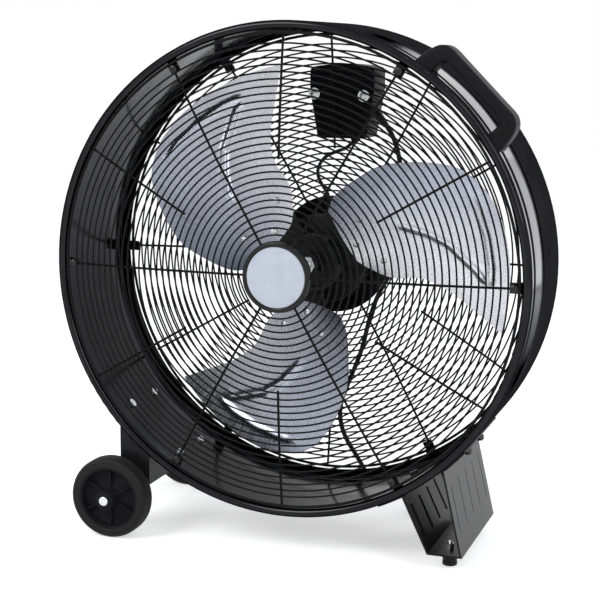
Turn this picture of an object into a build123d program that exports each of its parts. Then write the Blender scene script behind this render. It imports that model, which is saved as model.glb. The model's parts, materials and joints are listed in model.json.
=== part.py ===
from build123d import *
import os
from math import atan2, cos, degrees, hypot, pi, radians, sin, sqrt, tan

# Drum fan on two wheels and a foot. Millimetres, +Z up. Air leaves toward -Y, and X is to the
# right seen from the front. The origin is on the floor, under the middle of the fan's extent.

os.makedirs("parts", exist_ok=True)

# ---------------------------------------------------------------- driving dimensions
# Drum
drum_radius = 330.0
drum_depth = 211.0
drum_sheet = 1.5
curl_radius = 5.8
groove_radius = 3.0
groove_inset = 22.0
ground_clearance = 51.0

# Wire guards
guard_gap = 1.5
rim_wire = 4.0
ring_wire = 2.4
radial_wire = 3.2
wire_touch = 0.02
ring_pitch = 9.1
guard_hub_radius = 37.1
guard_flat_radius = 87.0
inner_ring_count = 18
full_radials = 6
partial_radial_start = 153.0
front_guard_edge = 4.0
front_guard_rise = 18.0
rear_guard_edge = 4.0
rear_guard_rise = 22.0
tab_width = 14.0
tab_sheet = 2.0
tab_seat_gap = 0.3
tab_reach = 6.0
tab_step = 6.0
tab_curl_gap = 1.4
eyelet_wall = 2.6
guard_screw_radius = 2.5

# Badge
badge_radius = 46.4
badge_rim = 5.9
badge_depth = 7.0
badge_plate = 1.6
badge_inset = 1.4

# Motor
mount_plate_radius = 85.0
mount_plate_sheet = 3.0
clamp_plate_radius = 62.0
motor_radius = 62.0
motor_length = 52.0
motor_wall = 3.5
fin_count = 36
fin_width = 2.4
fin_height = 3.2
fin_inset = 3.0
motor_cover = 8.0
motor_cover_wall = 4.0
shaft_radius = 6.0
shaft_clearance = 0.03
bearing_radius = 15.0
bearing_width = 9.0
rotor_radius = 31.0
air_gap = 0.6
core_length = 26.0
winding_length = 7.0

# Blades and their hub
blade_count = 3
first_blade_angle = 120.0
blade_sheet = 1.6
blade_tip_radius = 278.0
spider_sheet = 2.5
sheet_gap = 0.04
spider_reach = 112.0
hub_radius = 40.0
hub_front = 121.0
hub_back = 147.0
boss_radius = 15.0
boss_front = 112.0
rivet_radius = 2.4
rivet_head = 4.6

# Switch box
box_centre_x = 7.5
box_bottom = 167.0
box_shoulder = 236.0
box_top = 268.0
box_crown = 5.0
box_bottom_half = 36.5
box_top_half = 48.5
box_depth = 54.0
box_wall = 2.5
box_standoff = 0.6
washer_radius = 8.5
washer_spacing = 73.5
washer_height = 230.0
knob_radius = 18.0
knob_height = 15.0
spindle_radius = 3.0

# Handle
handle_angle = 44.5
handle_front = 8.0
handle_width = 38.0
handle_height = 34.0
handle_bar = 16.0
handle_opening = 106.0
handle_leg = 22.0
handle_bolt_share = 0.72
handle_foot_flare = 4.0

# Wheels and their bracket
wheel_radius = 57.0
wheel_width = 30.0
tyre_depth = 13.0
axle_radius = 5.0
axle_clearance = 0.06
axle_inset = 83.5
wheel_bracket_left_inset = 90.0
wheel_bracket_right_inset = 134.0
wheel_bracket_bottom_inset = 23.0
bracket_sheet = 2.5
bracket_inset = 5.0
side_clearance = 0.4
rear_spacer = 33.5
hub_overhang = 11.0
cap_radius = 6.6
cap_length = 3.0

# Foot
foot_left_inset = 127.0
foot_right_inset = 80.0
foot_top_left_angle = -59.6
foot_top_right_angle = -47.5
bumper_radius = 10.0
bumper_height = 21.0
bumper_screw_radius = 3.0
bumper_inset = 33.0
foot_rib_count = 5
foot_rib_width = 4.0
foot_rib_height = 1.2
flange_angle = 6.5
flange_bolt_radius = 3.0
flange_bolt_share = 0.55
flange_bolt_spacing = 75.0

# Power cord, its coil and its plug
cord_radius = 3.5
cord_inset = 24.2
gland_collar = 8.5
gland_tip_radius = 4.6
gland_collar_length = 5.0
gland_length = 26.0
coil_centre = (86.0, 345.0)
coil_radius = 39.0
coil_turns_across = 3
coil_layers = 2
tie_sheet = 0.8
tie_width = 9.0
plug_radius = 18.0
plug_length = 38.0
plug_neck = 16.0
pin_radius = 2.4
pin_length = 19.0
pin_spacing = 19.0

# Motor lead
lead_radius = 2.5
lead_gland_radius = 5.5
lead_gland_length = 6.0
lead_drop = 17.0

# ---------------------------------------------------------------- derived places
axis_height = drum_radius + ground_clearance
guard_radius = drum_radius - 2 * curl_radius - guard_gap - rim_wire / 2
drum_inside = drum_radius - drum_sheet

axle_x = axle_inset - drum_radius
wheel_bracket_left = wheel_bracket_left_inset - drum_radius
wheel_bracket_right = wheel_bracket_right_inset - drum_radius
wheel_bracket_drop = drum_radius - wheel_bracket_bottom_inset
foot_bottom_left = drum_radius - foot_left_inset
foot_bottom_right = drum_radius - foot_right_inset

rear_guard_centre = drum_depth - rear_guard_edge + rear_guard_rise
rear_guard_inside = rear_guard_centre - radial_wire - ring_wire / 2 + wire_touch
mount_plate_back = rear_guard_inside
mount_plate_front = mount_plate_back - mount_plate_sheet
motor_back = mount_plate_front
motor_front = motor_back - motor_length

box_front = rear_guard_centre + ring_wire / 2 + box_standoff
box_back = box_front + box_depth
knob_front = box_back + box_wall + 0.6
knob_back = knob_front + knob_height

wheel_inner_front = bracket_inset - side_clearance
wheel_outer_front = wheel_inner_front - wheel_width
hub_outer_front = wheel_outer_front - hub_overhang
axle_front = hub_outer_front - side_clearance - cap_length
bracket_back = drum_depth - bracket_inset
wheel_inner_back = bracket_back + rear_spacer
wheel_outer_back = wheel_inner_back + wheel_width
hub_outer_back = wheel_outer_back + hub_overhang
axle_back = hub_outer_back + side_clearance + cap_length

# The front rim's place along Y puts the fan's whole extent evenly about the origin.
rim_front_y = -(axle_front + max(knob_back, axle_back)) / 2


# ---------------------------------------------------------------- shared helpers
fan_axis = Axis((0, rim_front_y, axis_height), (0, 1, 0))


def point(x, depth, z):
    """A point given from the drum axis at the front rim: right, back and up."""
    return Vector(x, rim_front_y + depth, axis_height + z)


def face_on(depth):
    """Plane across the drum axis, facing forward; local x is X and local y is Z."""
    return Plane(origin=point(0, depth, 0), x_dir=(1, 0, 0), z_dir=(0, -1, 0))


def radial_section(angle):
    """Plane through the drum axis; local x is the radius and local y the depth."""
    c, s = cos(radians(angle)), sin(radians(angle))
    return Plane(origin=point(0, 0, 0), x_dir=(c, 0, s), z_dir=(-s, 0, c))


def outward(angle, depth, radius):
    """Plane at a radius, facing away from the drum axis; local x runs back along the drum."""
    c, s = cos(radians(angle)), sin(radians(angle))
    return Plane(origin=point(radius * c, depth, radius * s), x_dir=(0, 1, 0), z_dir=(c, 0, s))


def slab(sketch, front, back, mode=Mode.ADD):
    """Extrudes a sketch drawn on face_on(back) forward to the depth front."""
    extrude(sketch, amount=back - front, mode=mode)


def disc(radius, front, back, mode=Mode.ADD, centre=(0, 0)):
    """Adds a round slab between two depths."""
    with BuildSketch(face_on(back)) as round_face:
        with Locations(centre):
            Circle(radius)
    slab(round_face.sketch, front, back, mode)


def rod(plane, radius, length, mode=Mode.ADD):
    """Adds a round bar that starts on a plane and runs along its normal."""
    with BuildSketch(plane) as round_face:
        Circle(radius)
    extrude(round_face.sketch, amount=length, mode=mode)


def hexagon(plane, radius, length):
    """Adds a hexagonal bar that starts on a plane and runs along its normal."""
    with BuildSketch(plane) as hex_face:
        RegularPolygon(radius, 6)
    extrude(hex_face.sketch, amount=length)


def save(builder, name):
    """Labels a finished piece and writes it."""
    builder.part.label = name
    export_step(builder.part, f"parts/{name}.step")


def bend_radii(points):
    """Radius of the arc at each inner corner of a route, as large as its two runs allow."""
    radii = []
    for before, corner, after in zip(points, points[1:], points[2:]):
        turn = (corner - before).get_angle(after - corner)
        shorter = min((corner - before).length, (after - corner).length)
        radii.append(0.45 * shorter / tan(radians(turn) / 2))
    return radii


def tube(points, radius):
    """Adds a round tube along straight runs joined by tangent arcs."""
    with BuildLine() as route:
        FilletPolyline(*points, radius=bend_radii(points))
    start = Plane(origin=points[0], z_dir=points[1] - points[0])
    with BuildSketch(start) as cross:
        Circle(radius)
    sweep(cross.sketch, path=route.wire())
    return route.wire().length


# ---------------------------------------------------------------- drum shell
guard_angles = [360 / full_radials * k for k in range(full_radials)]
partial_angles = [angle + 180 / full_radials for angle in guard_angles]
tab_radius = guard_radius - rim_wire / 2 - 2 * guard_screw_radius - 0.4
tab_seat = ring_wire / 2 + radial_wire - wire_touch + tab_seat_gap
tab_spots = [(tab_radius * cos(radians(a)), tab_radius * sin(radians(a))) for a in guard_angles]
tab_leg = drum_radius - 2 * curl_radius - tab_curl_gap
seam_angle = 90 / full_radials
radial_end = guard_radius + rim_wire / 4
front_tab_depth = front_guard_edge + tab_seat
rear_tab_depth = drum_depth - rear_guard_edge - tab_seat

handle_bolt_spread = degrees(atan2(handle_opening / 2 + handle_leg / 2, drum_radius))
handle_bolt_angles = [handle_angle - handle_bolt_spread, handle_angle + handle_bolt_spread]
handle_bolt_depths = [handle_front + handle_width * handle_bolt_share]
handle_bolt_radius = 3.0

wheel_flange_angles = [
    degrees(atan2(-sqrt(drum_radius**2 - wheel_bracket_left**2), wheel_bracket_left)),
    degrees(atan2(-sqrt(drum_radius**2 - wheel_bracket_right**2), wheel_bracket_right)),
]
foot_flange_angles = [foot_top_left_angle, foot_top_right_angle]
flange_bolt_angles = [
    wheel_flange_angles[0] - flange_angle * flange_bolt_share,
    wheel_flange_angles[1] + flange_angle * flange_bolt_share,
    foot_flange_angles[0] - flange_angle * flange_bolt_share,
    foot_flange_angles[1] + flange_angle * flange_bolt_share,
]
flange_bolt_depths = [
    drum_depth / 2 - flange_bolt_spacing / 2,
    drum_depth / 2 + flange_bolt_spacing / 2,
]


def curl_profile(depth, open_side):
    """Section of a rolled rim at one end of the drum, open toward the inside of the drum."""
    centre_radius = drum_radius - curl_radius
    with Locations((centre_radius, depth)):
        Circle(curl_radius)
        Circle(curl_radius - drum_sheet, mode=Mode.SUBTRACT)
    with Locations((centre_radius - curl_radius, depth + open_side * curl_radius)):
        Rectangle(2 * curl_radius - 2 * drum_sheet, 1.2 * curl_radius, mode=Mode.SUBTRACT)


with BuildPart() as drum_shell:
    with BuildSketch(radial_section(seam_angle)) as wall_profile:
        curl_profile(curl_radius, 1)
        curl_profile(drum_depth - curl_radius, -1)
        with Locations((drum_radius - drum_sheet / 2, drum_depth / 2)):
            Rectangle(drum_sheet, drum_depth - 2 * curl_radius)
        for groove_depth in (groove_inset, drum_depth - groove_inset):
            with Locations((drum_radius, groove_depth)):
                Circle(groove_radius + drum_sheet)
                Circle(groove_radius, mode=Mode.SUBTRACT)
                with Locations((groove_radius + drum_sheet, 0)):
                    Rectangle(2 * (groove_radius + drum_sheet), 3 * groove_radius, mode=Mode.SUBTRACT)
    revolve(wall_profile.sketch, axis=fan_axis)
    for angle, spot in zip(guard_angles, tab_spots):
        for tab_depth, wall_side in ((front_tab_depth, 1), (rear_tab_depth, -1)):
            foot_depth = tab_depth + wall_side * tab_step
            with BuildSketch(radial_section(angle)) as tab_profile:
                with BuildLine():
                    Polyline(
                        (tab_radius - tab_reach, tab_depth),
                        (tab_leg, tab_depth),
                        (tab_leg, foot_depth),
                        (drum_inside + drum_sheet / 2, foot_depth),
                        (drum_inside + drum_sheet / 2, foot_depth + wall_side * tab_sheet),
                        (tab_leg - tab_sheet, foot_depth + wall_side * tab_sheet),
                        (tab_leg - tab_sheet, tab_depth + wall_side * tab_sheet),
                        (tab_radius - tab_reach, tab_depth + wall_side * tab_sheet),
                        close=True,
                    )
                make_face()
            extrude(tab_profile.sketch, amount=tab_width / 2, both=True)
            disc(guard_screw_radius, tab_depth - tab_reach, tab_depth + tab_reach, Mode.SUBTRACT, spot)
    for angle in flange_bolt_angles:
        for depth in flange_bolt_depths:
            rod(outward(angle, depth, drum_inside - 4), flange_bolt_radius, 10, Mode.SUBTRACT)
    for angle in handle_bolt_angles:
        for depth in handle_bolt_depths:
            rod(outward(angle, depth, drum_inside - 4), handle_bolt_radius, 10, Mode.SUBTRACT)
save(drum_shell, "drum_shell")


# ---------------------------------------------------------------- wire guards
last_ring = tab_radius - tab_reach
ring_count = int((last_ring - guard_hub_radius) / ring_pitch) + 1
ring_radii = [guard_hub_radius + ring_pitch * k for k in range(ring_count)]


def dome_drop(radius, rise):
    """How far a dome has fallen from its flat middle at a radius."""
    reach = guard_radius - guard_flat_radius
    sphere = (reach**2 + rise**2) / (2 * rise)
    return sphere - sqrt(sphere**2 - max(0, radius - guard_flat_radius) ** 2)


def front_guard_depth(radius):
    """Depth of the front guard's rings: flat in the middle, falling back toward the rim."""
    return front_guard_edge - front_guard_rise + dome_drop(radius, front_guard_rise)


def rear_guard_depth(radius):
    """Depth of the rear guard's rings: flat in the middle, falling forward toward the rim."""
    return drum_depth - rear_guard_edge + rear_guard_rise - dome_drop(radius, rear_guard_rise)


def eyelet_face(depth_at, inward):
    """Depth of an eyelet's outer face, just past the radial wire where the screw's head ends."""
    return depth_at(tab_radius - 2 * guard_screw_radius) + inward * (ring_wire / 2 - wire_touch - 0.1)


def radial_wire_solid(angle, start, depth_at, step_in):
    """One round wire along a guard's inner side, straight over the flat middle and then bent."""
    flat_end = (guard_flat_radius, depth_at(guard_flat_radius) + step_in)
    rim_end = (radial_end, depth_at(radial_end) + step_in)
    middle = (guard_flat_radius + radial_end) / 2
    with BuildLine(radial_section(angle)) as path:
        if start < guard_flat_radius:
            Line((start, depth_at(start) + step_in), flat_end)
            ThreePointArc(flat_end, (middle, depth_at(middle) + step_in), rim_end)
        else:
            middle = (start + radial_end) / 2
            arc_middle = (middle, depth_at(middle) + step_in)
            ThreePointArc((start, depth_at(start) + step_in), arc_middle, rim_end)
    wire = path.wire()
    with BuildSketch(Plane(origin=wire @ 0, x_dir=(0, step_in, 0), z_dir=wire % 0)) as end:
        Circle(radial_wire / 2)
    return sweep(end.sketch, path=wire, mode=Mode.PRIVATE)


def guard_rings(depth_at, radii):
    """Adds round rings of a guard at some radii."""
    with BuildSketch(radial_section(seam_angle)) as wire_ends:
        for radius in radii:
            with Locations((radius, depth_at(radius))):
                Circle(ring_wire / 2)
    revolve(wire_ends.sketch, axis=fan_axis)


def guard_rim(depth_at, inward):
    """Adds a guard's thicker rim, which bears on the same radial wires as the rings."""
    rim_depth = depth_at(guard_radius) - inward * (rim_wire - ring_wire) / 2
    with BuildSketch(radial_section(seam_angle)) as wire_end:
        with Locations((guard_radius, rim_depth)):
            Circle(rim_wire / 2)
    revolve(wire_end.sketch, axis=fan_axis)


def guard_radials(depth_at, inward, edge_depth):
    """Adds the wires that run out along a guard's inner side, and an eyelet on each full one."""
    step_in = inward * ((ring_wire + radial_wire) / 2 - wire_touch)
    starts = [(angle, guard_hub_radius - ring_wire) for angle in guard_angles]
    starts += [(angle, partial_radial_start) for angle in partial_angles]
    add([radial_wire_solid(angle, start, depth_at, step_in) for angle, start in starts])
    low, high = sorted((eyelet_face(depth_at, inward), edge_depth + inward * tab_seat))
    with BuildSketch(face_on(high)) as eyelet_faces:
        with Locations(*tab_spots):
            Circle(guard_screw_radius + eyelet_wall)
    slab(eyelet_faces.sketch, low, high)
    with BuildSketch(face_on(high + 5)) as eyelet_holes:
        with Locations(*tab_spots):
            Circle(guard_screw_radius)
    slab(eyelet_holes.sketch, low - 5, high + 5, Mode.SUBTRACT)


front_badge_seat = front_guard_depth(guard_hub_radius)
rear_guard_edge_depth = drum_depth - rear_guard_edge
inner_ring_radii = ring_radii[:inner_ring_count]
outer_ring_radii = ring_radii[inner_ring_count:]

with BuildPart() as front_guard_inner_rings:
    guard_rings(front_guard_depth, inner_ring_radii)
save(front_guard_inner_rings, "front_guard_inner_rings")

with BuildPart() as front_guard_outer_rings:
    guard_rings(front_guard_depth, outer_ring_radii)
    guard_rim(front_guard_depth, 1)
save(front_guard_outer_rings, "front_guard_outer_rings")

with BuildPart() as front_guard_radials:
    guard_radials(front_guard_depth, 1, front_guard_edge)
save(front_guard_radials, "front_guard_radials")

with BuildPart() as rear_guard_inner_rings:
    guard_rings(rear_guard_depth, inner_ring_radii)
save(rear_guard_inner_rings, "rear_guard_inner_rings")

with BuildPart() as rear_guard_outer_rings:
    guard_rings(rear_guard_depth, outer_ring_radii)
    guard_rim(rear_guard_depth, -1)
save(rear_guard_outer_rings, "rear_guard_outer_rings")

with BuildPart() as rear_guard_radials:
    guard_radials(rear_guard_depth, -1, rear_guard_edge_depth)
save(rear_guard_radials, "rear_guard_radials")


def guard_screws(seat, tab_face, inward):
    """Adds one round-headed screw at each full radial, through the eyelet and the drum's tab."""
    for spot in tab_spots:
        low, high = sorted((seat, tab_face + inward * 2 * tab_sheet))
        disc(guard_screw_radius, low, high, centre=spot)
        low, high = sorted((seat - inward * guard_screw_radius, seat))
        disc(2 * guard_screw_radius, low, high, centre=spot)


with BuildPart() as front_guard_screws:
    guard_screws(eyelet_face(front_guard_depth, 1), front_tab_depth, 1)
save(front_guard_screws, "front_guard_screws")

with BuildPart() as rear_guard_screws:
    guard_screws(eyelet_face(rear_guard_depth, -1), rear_tab_depth, -1)
save(rear_guard_screws, "rear_guard_screws")


# ---------------------------------------------------------------- badge
badge_back = front_badge_seat - ring_wire / 2
badge_front = badge_back - badge_depth

with BuildPart() as badge_bezel:
    disc(badge_radius, badge_front, badge_back)
    disc(badge_radius - badge_rim, badge_front, badge_front + badge_plate + badge_inset, Mode.SUBTRACT)
    disc(badge_radius - 2 * badge_rim, badge_front + badge_depth / 2, badge_back, Mode.SUBTRACT)
    front_edges = badge_bezel.edges().filter_by(GeomType.CIRCLE).group_by(Axis.Y)[0]
    fillet(front_edges.sort_by(SortBy.RADIUS)[-1], 1.6)
save(badge_bezel, "badge_bezel")

with BuildPart() as badge_disc:
    disc(badge_radius - badge_rim - 0.1, badge_front + badge_inset, badge_front + badge_inset + badge_plate)
save(badge_disc, "badge_disc")


# ---------------------------------------------------------------- motor mount
def between_rings(radius):
    """Radius midway between the two guard rings on either side of a radius."""
    return guard_hub_radius + ring_pitch * (int((radius - guard_hub_radius) / ring_pitch) + 0.5)


motor_bolt_circle = between_rings(50.0)
motor_bolt_radius = 2.5
clamp_front = rear_guard_centre + ring_wire / 2
clamp_back = clamp_front + mount_plate_sheet

with BuildPart() as motor_mount_plate:
    disc(mount_plate_radius, mount_plate_front, mount_plate_back)
    with BuildSketch(face_on(mount_plate_back)) as plate_holes:
        with PolarLocations(motor_bolt_circle, 4, start_angle=45):
            Circle(motor_bolt_radius)
    slab(plate_holes.sketch, mount_plate_front, mount_plate_back, Mode.SUBTRACT)
save(motor_mount_plate, "motor_mount_plate")

with BuildPart() as guard_clamp_plate:
    disc(clamp_plate_radius, clamp_front, clamp_back)
    with BuildSketch(face_on(clamp_back)) as clamp_holes:
        with PolarLocations(motor_bolt_circle, 4, start_angle=45):
            Circle(motor_bolt_radius)
    slab(clamp_holes.sketch, clamp_front, clamp_back, Mode.SUBTRACT)
save(guard_clamp_plate, "guard_clamp_plate")

with BuildPart() as motor_bolts:
    with BuildSketch(face_on(clamp_back)) as bolt_shanks:
        with PolarLocations(motor_bolt_circle, 4, start_angle=45):
            Circle(motor_bolt_radius)
    slab(bolt_shanks.sketch, motor_back - motor_cover_wall, clamp_back)
    with BuildSketch(face_on(clamp_back + 3.5)) as bolt_heads:
        with PolarLocations(motor_bolt_circle, 4, start_angle=45):
            RegularPolygon(2 * motor_bolt_radius, 6)
    slab(bolt_heads.sketch, clamp_back, clamp_back + 3.5)
save(motor_bolts, "motor_bolts")


# ---------------------------------------------------------------- motor
housing_front = motor_front + motor_cover
housing_back = motor_back - motor_cover
core_front = (housing_front + housing_back - core_length) / 2
core_back = core_front + core_length
stator_bore = rotor_radius + air_gap
stator_radius = motor_radius - motor_wall
front_bearing_front = motor_front + 1.5
rear_bearing_back = motor_back - 1.5
rear_bearing_front = rear_bearing_back - bearing_width


def motor_fins(mode):
    """Adds or cuts the cooling fins along the outside of the motor's housing."""
    with BuildSketch(face_on(housing_back - fin_inset)) as fins:
        with PolarLocations(motor_radius + fin_height / 4, fin_count):
            Rectangle(1.5 * fin_height, fin_width)
    slab(fins.sketch, housing_front + fin_inset, housing_back - fin_inset, mode)


with BuildPart() as motor_housing:
    disc(motor_radius, housing_front, housing_back)
    motor_fins(Mode.ADD)
    disc(motor_radius - motor_wall, housing_front, housing_back, Mode.SUBTRACT)
save(motor_housing, "motor_housing")

with BuildPart() as motor_front_cover:
    disc(motor_radius + 1.0, motor_front, housing_front)
    disc(motor_radius - motor_wall, motor_front + motor_cover_wall, housing_front, Mode.SUBTRACT)
    disc(bearing_radius + 6, motor_front + motor_cover_wall, housing_front + 4)
    disc(bearing_radius, front_bearing_front, housing_front + 4, Mode.SUBTRACT)
    disc(shaft_radius + 2, motor_front - 1, housing_front, Mode.SUBTRACT)
    fillet(motor_front_cover.edges().group_by(Axis.Y)[0].sort_by(SortBy.RADIUS)[-1], 3)
save(motor_front_cover, "motor_front_cover")

with BuildPart() as motor_rear_cover:
    disc(motor_radius + 1.0, housing_back, motor_back)
    disc(motor_radius - motor_wall, housing_back, motor_back - motor_cover_wall, Mode.SUBTRACT)
    disc(bearing_radius + 6, housing_back - 4, motor_back - motor_cover_wall)
    disc(bearing_radius, housing_back - 4, rear_bearing_back, Mode.SUBTRACT)
    with BuildSketch(face_on(motor_back)) as tapped_holes:
        with PolarLocations(motor_bolt_circle, 4, start_angle=45):
            Circle(motor_bolt_radius)
    slab(tapped_holes.sketch, motor_back - motor_cover_wall, motor_back, Mode.SUBTRACT)
save(motor_rear_cover, "motor_rear_cover")

with BuildPart() as stator_core:
    disc(stator_radius, core_front, core_back)
    disc(stator_bore, core_front, core_back, Mode.SUBTRACT)
    with BuildSketch(face_on(core_back)) as slots:
        with PolarLocations(stator_bore + 8, 12):
            Rectangle(12, 4)
    slab(slots.sketch, core_front, core_back, Mode.SUBTRACT)
save(stator_core, "stator_core")

with BuildPart() as stator_windings:
    for coil_front in (core_front - winding_length, core_back):
        disc(stator_radius - 6, coil_front, coil_front + winding_length)
        disc(stator_bore + 3, coil_front, coil_front + winding_length, Mode.SUBTRACT)
    with BuildSketch(face_on(core_back)) as slot_wires:
        with PolarLocations(stator_bore + 8.5, 12):
            Rectangle(9, 4)
    slab(slot_wires.sketch, core_front, core_back)
save(stator_windings, "stator_windings")


def bearing(front):
    """Adds a ball bearing's outer shape: two rings and the shield between them."""
    disc(bearing_radius, front, front + bearing_width)
    disc(shaft_radius + shaft_clearance, front, front + bearing_width, Mode.SUBTRACT)
    for face_front in (front, front + bearing_width - 0.8):
        disc(bearing_radius - 3, face_front, face_front + 0.8, Mode.SUBTRACT)
        disc(shaft_radius + 3, face_front, face_front + 0.8)
        disc(shaft_radius + shaft_clearance, face_front, face_front + 0.8, Mode.SUBTRACT)


with BuildPart() as motor_bearings:
    bearing(front_bearing_front)
    bearing(rear_bearing_front)
save(motor_bearings, "motor_bearings")


# ---------------------------------------------------------------- rotating parts
shaft_front = boss_front - 10
shaft_back = rear_bearing_back - 0.5

with BuildPart() as motor_shaft:
    disc(shaft_radius, shaft_front, shaft_back)
    chamfer(motor_shaft.edges().group_by(Axis.Y)[0], 0.8)
save(motor_shaft, "motor_shaft")

with BuildPart() as rotor_core:
    disc(rotor_radius, core_front, core_back)
    disc(shaft_radius, core_front, core_back, Mode.SUBTRACT)
    for ring_front in (core_front - 4, core_back):
        disc(rotor_radius - 2, ring_front, ring_front + 4)
        disc(rotor_radius - 7, ring_front, ring_front + 4, Mode.SUBTRACT)
save(rotor_core, "rotor_core")

# The blades' common surface: depth over the distance along the arc and over the radius.
surface_depth = 134.8
arc_slope = -0.3407
radius_slope = -0.0445
twist = 9.44e-4
surface_radius = 180.0


def blade_depth(radius, phi):
    """Depth of a blade's front face at a radius and at an angle past the blade's own axis."""
    along = radius * radians(phi)
    out = radius - surface_radius
    return surface_depth + arc_slope * along + radius_slope * out + twist * along * out


def blade_point(axis_angle, radius, phi):
    """Point of a blade's front face."""
    turned = radians(axis_angle + phi)
    return point(radius * cos(turned), blade_depth(radius, phi), radius * sin(turned))


def blade_normal(axis_angle, radius, phi):
    """Forward normal of a blade's front face."""
    across = blade_point(axis_angle, radius, phi + 0.1) - blade_point(axis_angle, radius, phi - 0.1)
    outwards = blade_point(axis_angle, radius + 0.1, phi) - blade_point(axis_angle, radius - 0.1, phi)
    return outwards.cross(across).normalized()


def blade_patch(axis_angle, radii, phis, behind):
    """Smooth face through a grid of points, parallel to a blade's front face and behind it."""
    grid = [
        [blade_point(axis_angle, r, phi) - blade_normal(axis_angle, r, phi) * behind for phi in phis]
        for r in radii
    ]
    return Face.make_surface_from_array_of_points(grid)


def spaced(first, last, count):
    """Evenly spaced values from first to last."""
    return [first + (last - first) * k / (count - 1) for k in range(count)]


def polar(radius, phi):
    """Flat point at a radius and an angle, in degrees."""
    return (radius * cos(radians(phi)), radius * sin(radians(phi)))


# A blade's outline past its round outer edge: radius and angle, by way of the trailing edge,
# the root and the leading edge back to the swept tip.
tip_lead = -18.3
tip_trail = 15.0
root_arc_middle = (56.5, 27.0)
trailing_edge = [(272, 24), (256, 33), (222, 41.5), (183, 51), (150, 57), (110, 65), (84, 67)]
leading_edge = [(62, 4), (78, -4), (112, -9), (155, -6), (194, -9.3), (235, -14.4)]
outline_scale = blade_tip_radius / 278.0


def blade_outline(axis_angle):
    """Draws the blade's outline as seen from the front."""
    trail = [polar(r * outline_scale, axis_angle + phi) for r, phi in trailing_edge]
    lead = [polar(r * outline_scale, axis_angle + phi) for r, phi in leading_edge]
    root_middle = polar(root_arc_middle[0] * outline_scale, axis_angle + root_arc_middle[1])
    tip = polar(blade_tip_radius, axis_angle + tip_lead)
    shoulder = polar(blade_tip_radius, axis_angle + tip_trail)
    with BuildLine() as outline:
        ThreePointArc(tip, polar(blade_tip_radius, axis_angle), shoulder)
        Spline(shoulder, *trail)
        ThreePointArc(trail[-1], root_middle, lead[0])
        Spline(*lead, tip)
    return outline


rivet_spots = [(101.0, 3.7), (70.0, 24.0), (98.0, 41.6)]


def rivet_plane(axis_angle, radius, phi):
    """Plane on a blade's front face at a rivet, facing forward."""
    centre = blade_point(axis_angle, radius, phi)
    return Plane(origin=centre, z_dir=blade_normal(axis_angle, radius, phi))


def rivet_holes(axis_angle):
    """Cuts the rivet holes of one blade through whatever is in their way."""
    for radius, phi in rivet_spots:
        face = rivet_plane(axis_angle, radius, phi)
        rod(face.offset(-12), rivet_radius, 20, Mode.SUBTRACT)


blade_angles = [first_blade_angle - 360 / blade_count * k for k in range(blade_count)]
for number, axis_angle in enumerate(blade_angles, start=1):
    with BuildPart() as blade:
        with BuildSketch(face_on(0)) as outline_face:
            outline = blade_outline(axis_angle)
            make_face(outline.edges())
        extrude(outline_face.sketch, amount=-drum_depth)
        patch = blade_patch(axis_angle, spaced(40, blade_tip_radius + 8, 7), spaced(-26, 74, 9), 0)
        sheet = Solid.thicken(patch, blade_sheet, normal_override=(0, 1, 0))
        add(sheet, mode=Mode.INTERSECT)
        rivet_holes(axis_angle)
    save(blade, f"blade_{number}")

spider_behind = blade_sheet + sheet_gap
with BuildPart() as hub_spider:
    for axis_angle in blade_angles:
        arm_patch = blade_patch(axis_angle, spaced(20, 130, 5), spaced(-16, 62, 5), spider_behind)
        arm_sheet = Solid.thicken(arm_patch, spider_sheet, normal_override=(0, 1, 0))
        with BuildSketch(face_on(drum_depth)) as arm_outline:
            with BuildLine():
                Polyline(
                    polar(hub_radius - 6, axis_angle - 6),
                    polar(spider_reach * 0.9, axis_angle - 2.5),
                    polar(spider_reach, axis_angle + 4),
                    polar(spider_reach, axis_angle + 38),
                    polar(spider_reach * 0.9, axis_angle + 47),
                    polar(hub_radius - 6, axis_angle + 56),
                    close=True,
                )
            make_face()
        arm_prism = extrude(arm_outline.sketch, amount=drum_depth, mode=Mode.PRIVATE)
        add(arm_prism.intersect(arm_sheet))
    disc(hub_radius, hub_front, hub_back)
    disc(hub_radius - 6, hub_front, hub_front + 9, Mode.SUBTRACT)
    disc(boss_radius, boss_front, hub_back)
    disc(shaft_radius, boss_front - 1, hub_back + 1, Mode.SUBTRACT)
    for axis_angle in blade_angles:
        rivet_holes(axis_angle)
save(hub_spider, "hub_spider")

with BuildPart() as blade_rivets:
    for axis_angle in blade_angles:
        for radius, phi in rivet_spots:
            face = rivet_plane(axis_angle, radius, phi)
            grip = blade_sheet + spider_sheet + 2 * sheet_gap
            rod(face.offset(-grip), rivet_radius, grip + sheet_gap)
            rod(face.offset(sheet_gap), rivet_head, 1.8)
            rod(face.offset(-grip - 1.6), rivet_head, 1.6)
save(blade_rivets, "blade_rivets")

with BuildPart() as hub_nut:
    hexagon(face_on(boss_front), 2 * shaft_radius, 7)
    disc(shaft_radius, shaft_front, boss_front, Mode.SUBTRACT)
save(hub_nut, "hub_nut")


# ---------------------------------------------------------------- switch box
def box_outline(inset):
    """Draws the box's face: a shield that narrows downward, with an arched top."""
    top, bottom = box_top - inset, box_bottom + inset
    upper, lower = box_top_half - inset, box_bottom_half - inset
    with BuildLine() as shield_line:
        Polyline(
            (box_centre_x - upper, top),
            (box_centre_x - upper, box_shoulder),
            (box_centre_x - lower, bottom),
            (box_centre_x + lower, bottom),
            (box_centre_x + upper, box_shoulder),
            (box_centre_x + upper, top),
        )
        ThreePointArc(
            (box_centre_x + upper, top),
            (box_centre_x, top + box_crown),
            (box_centre_x - upper, top),
        )
    make_face(shield_line.edges())


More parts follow.
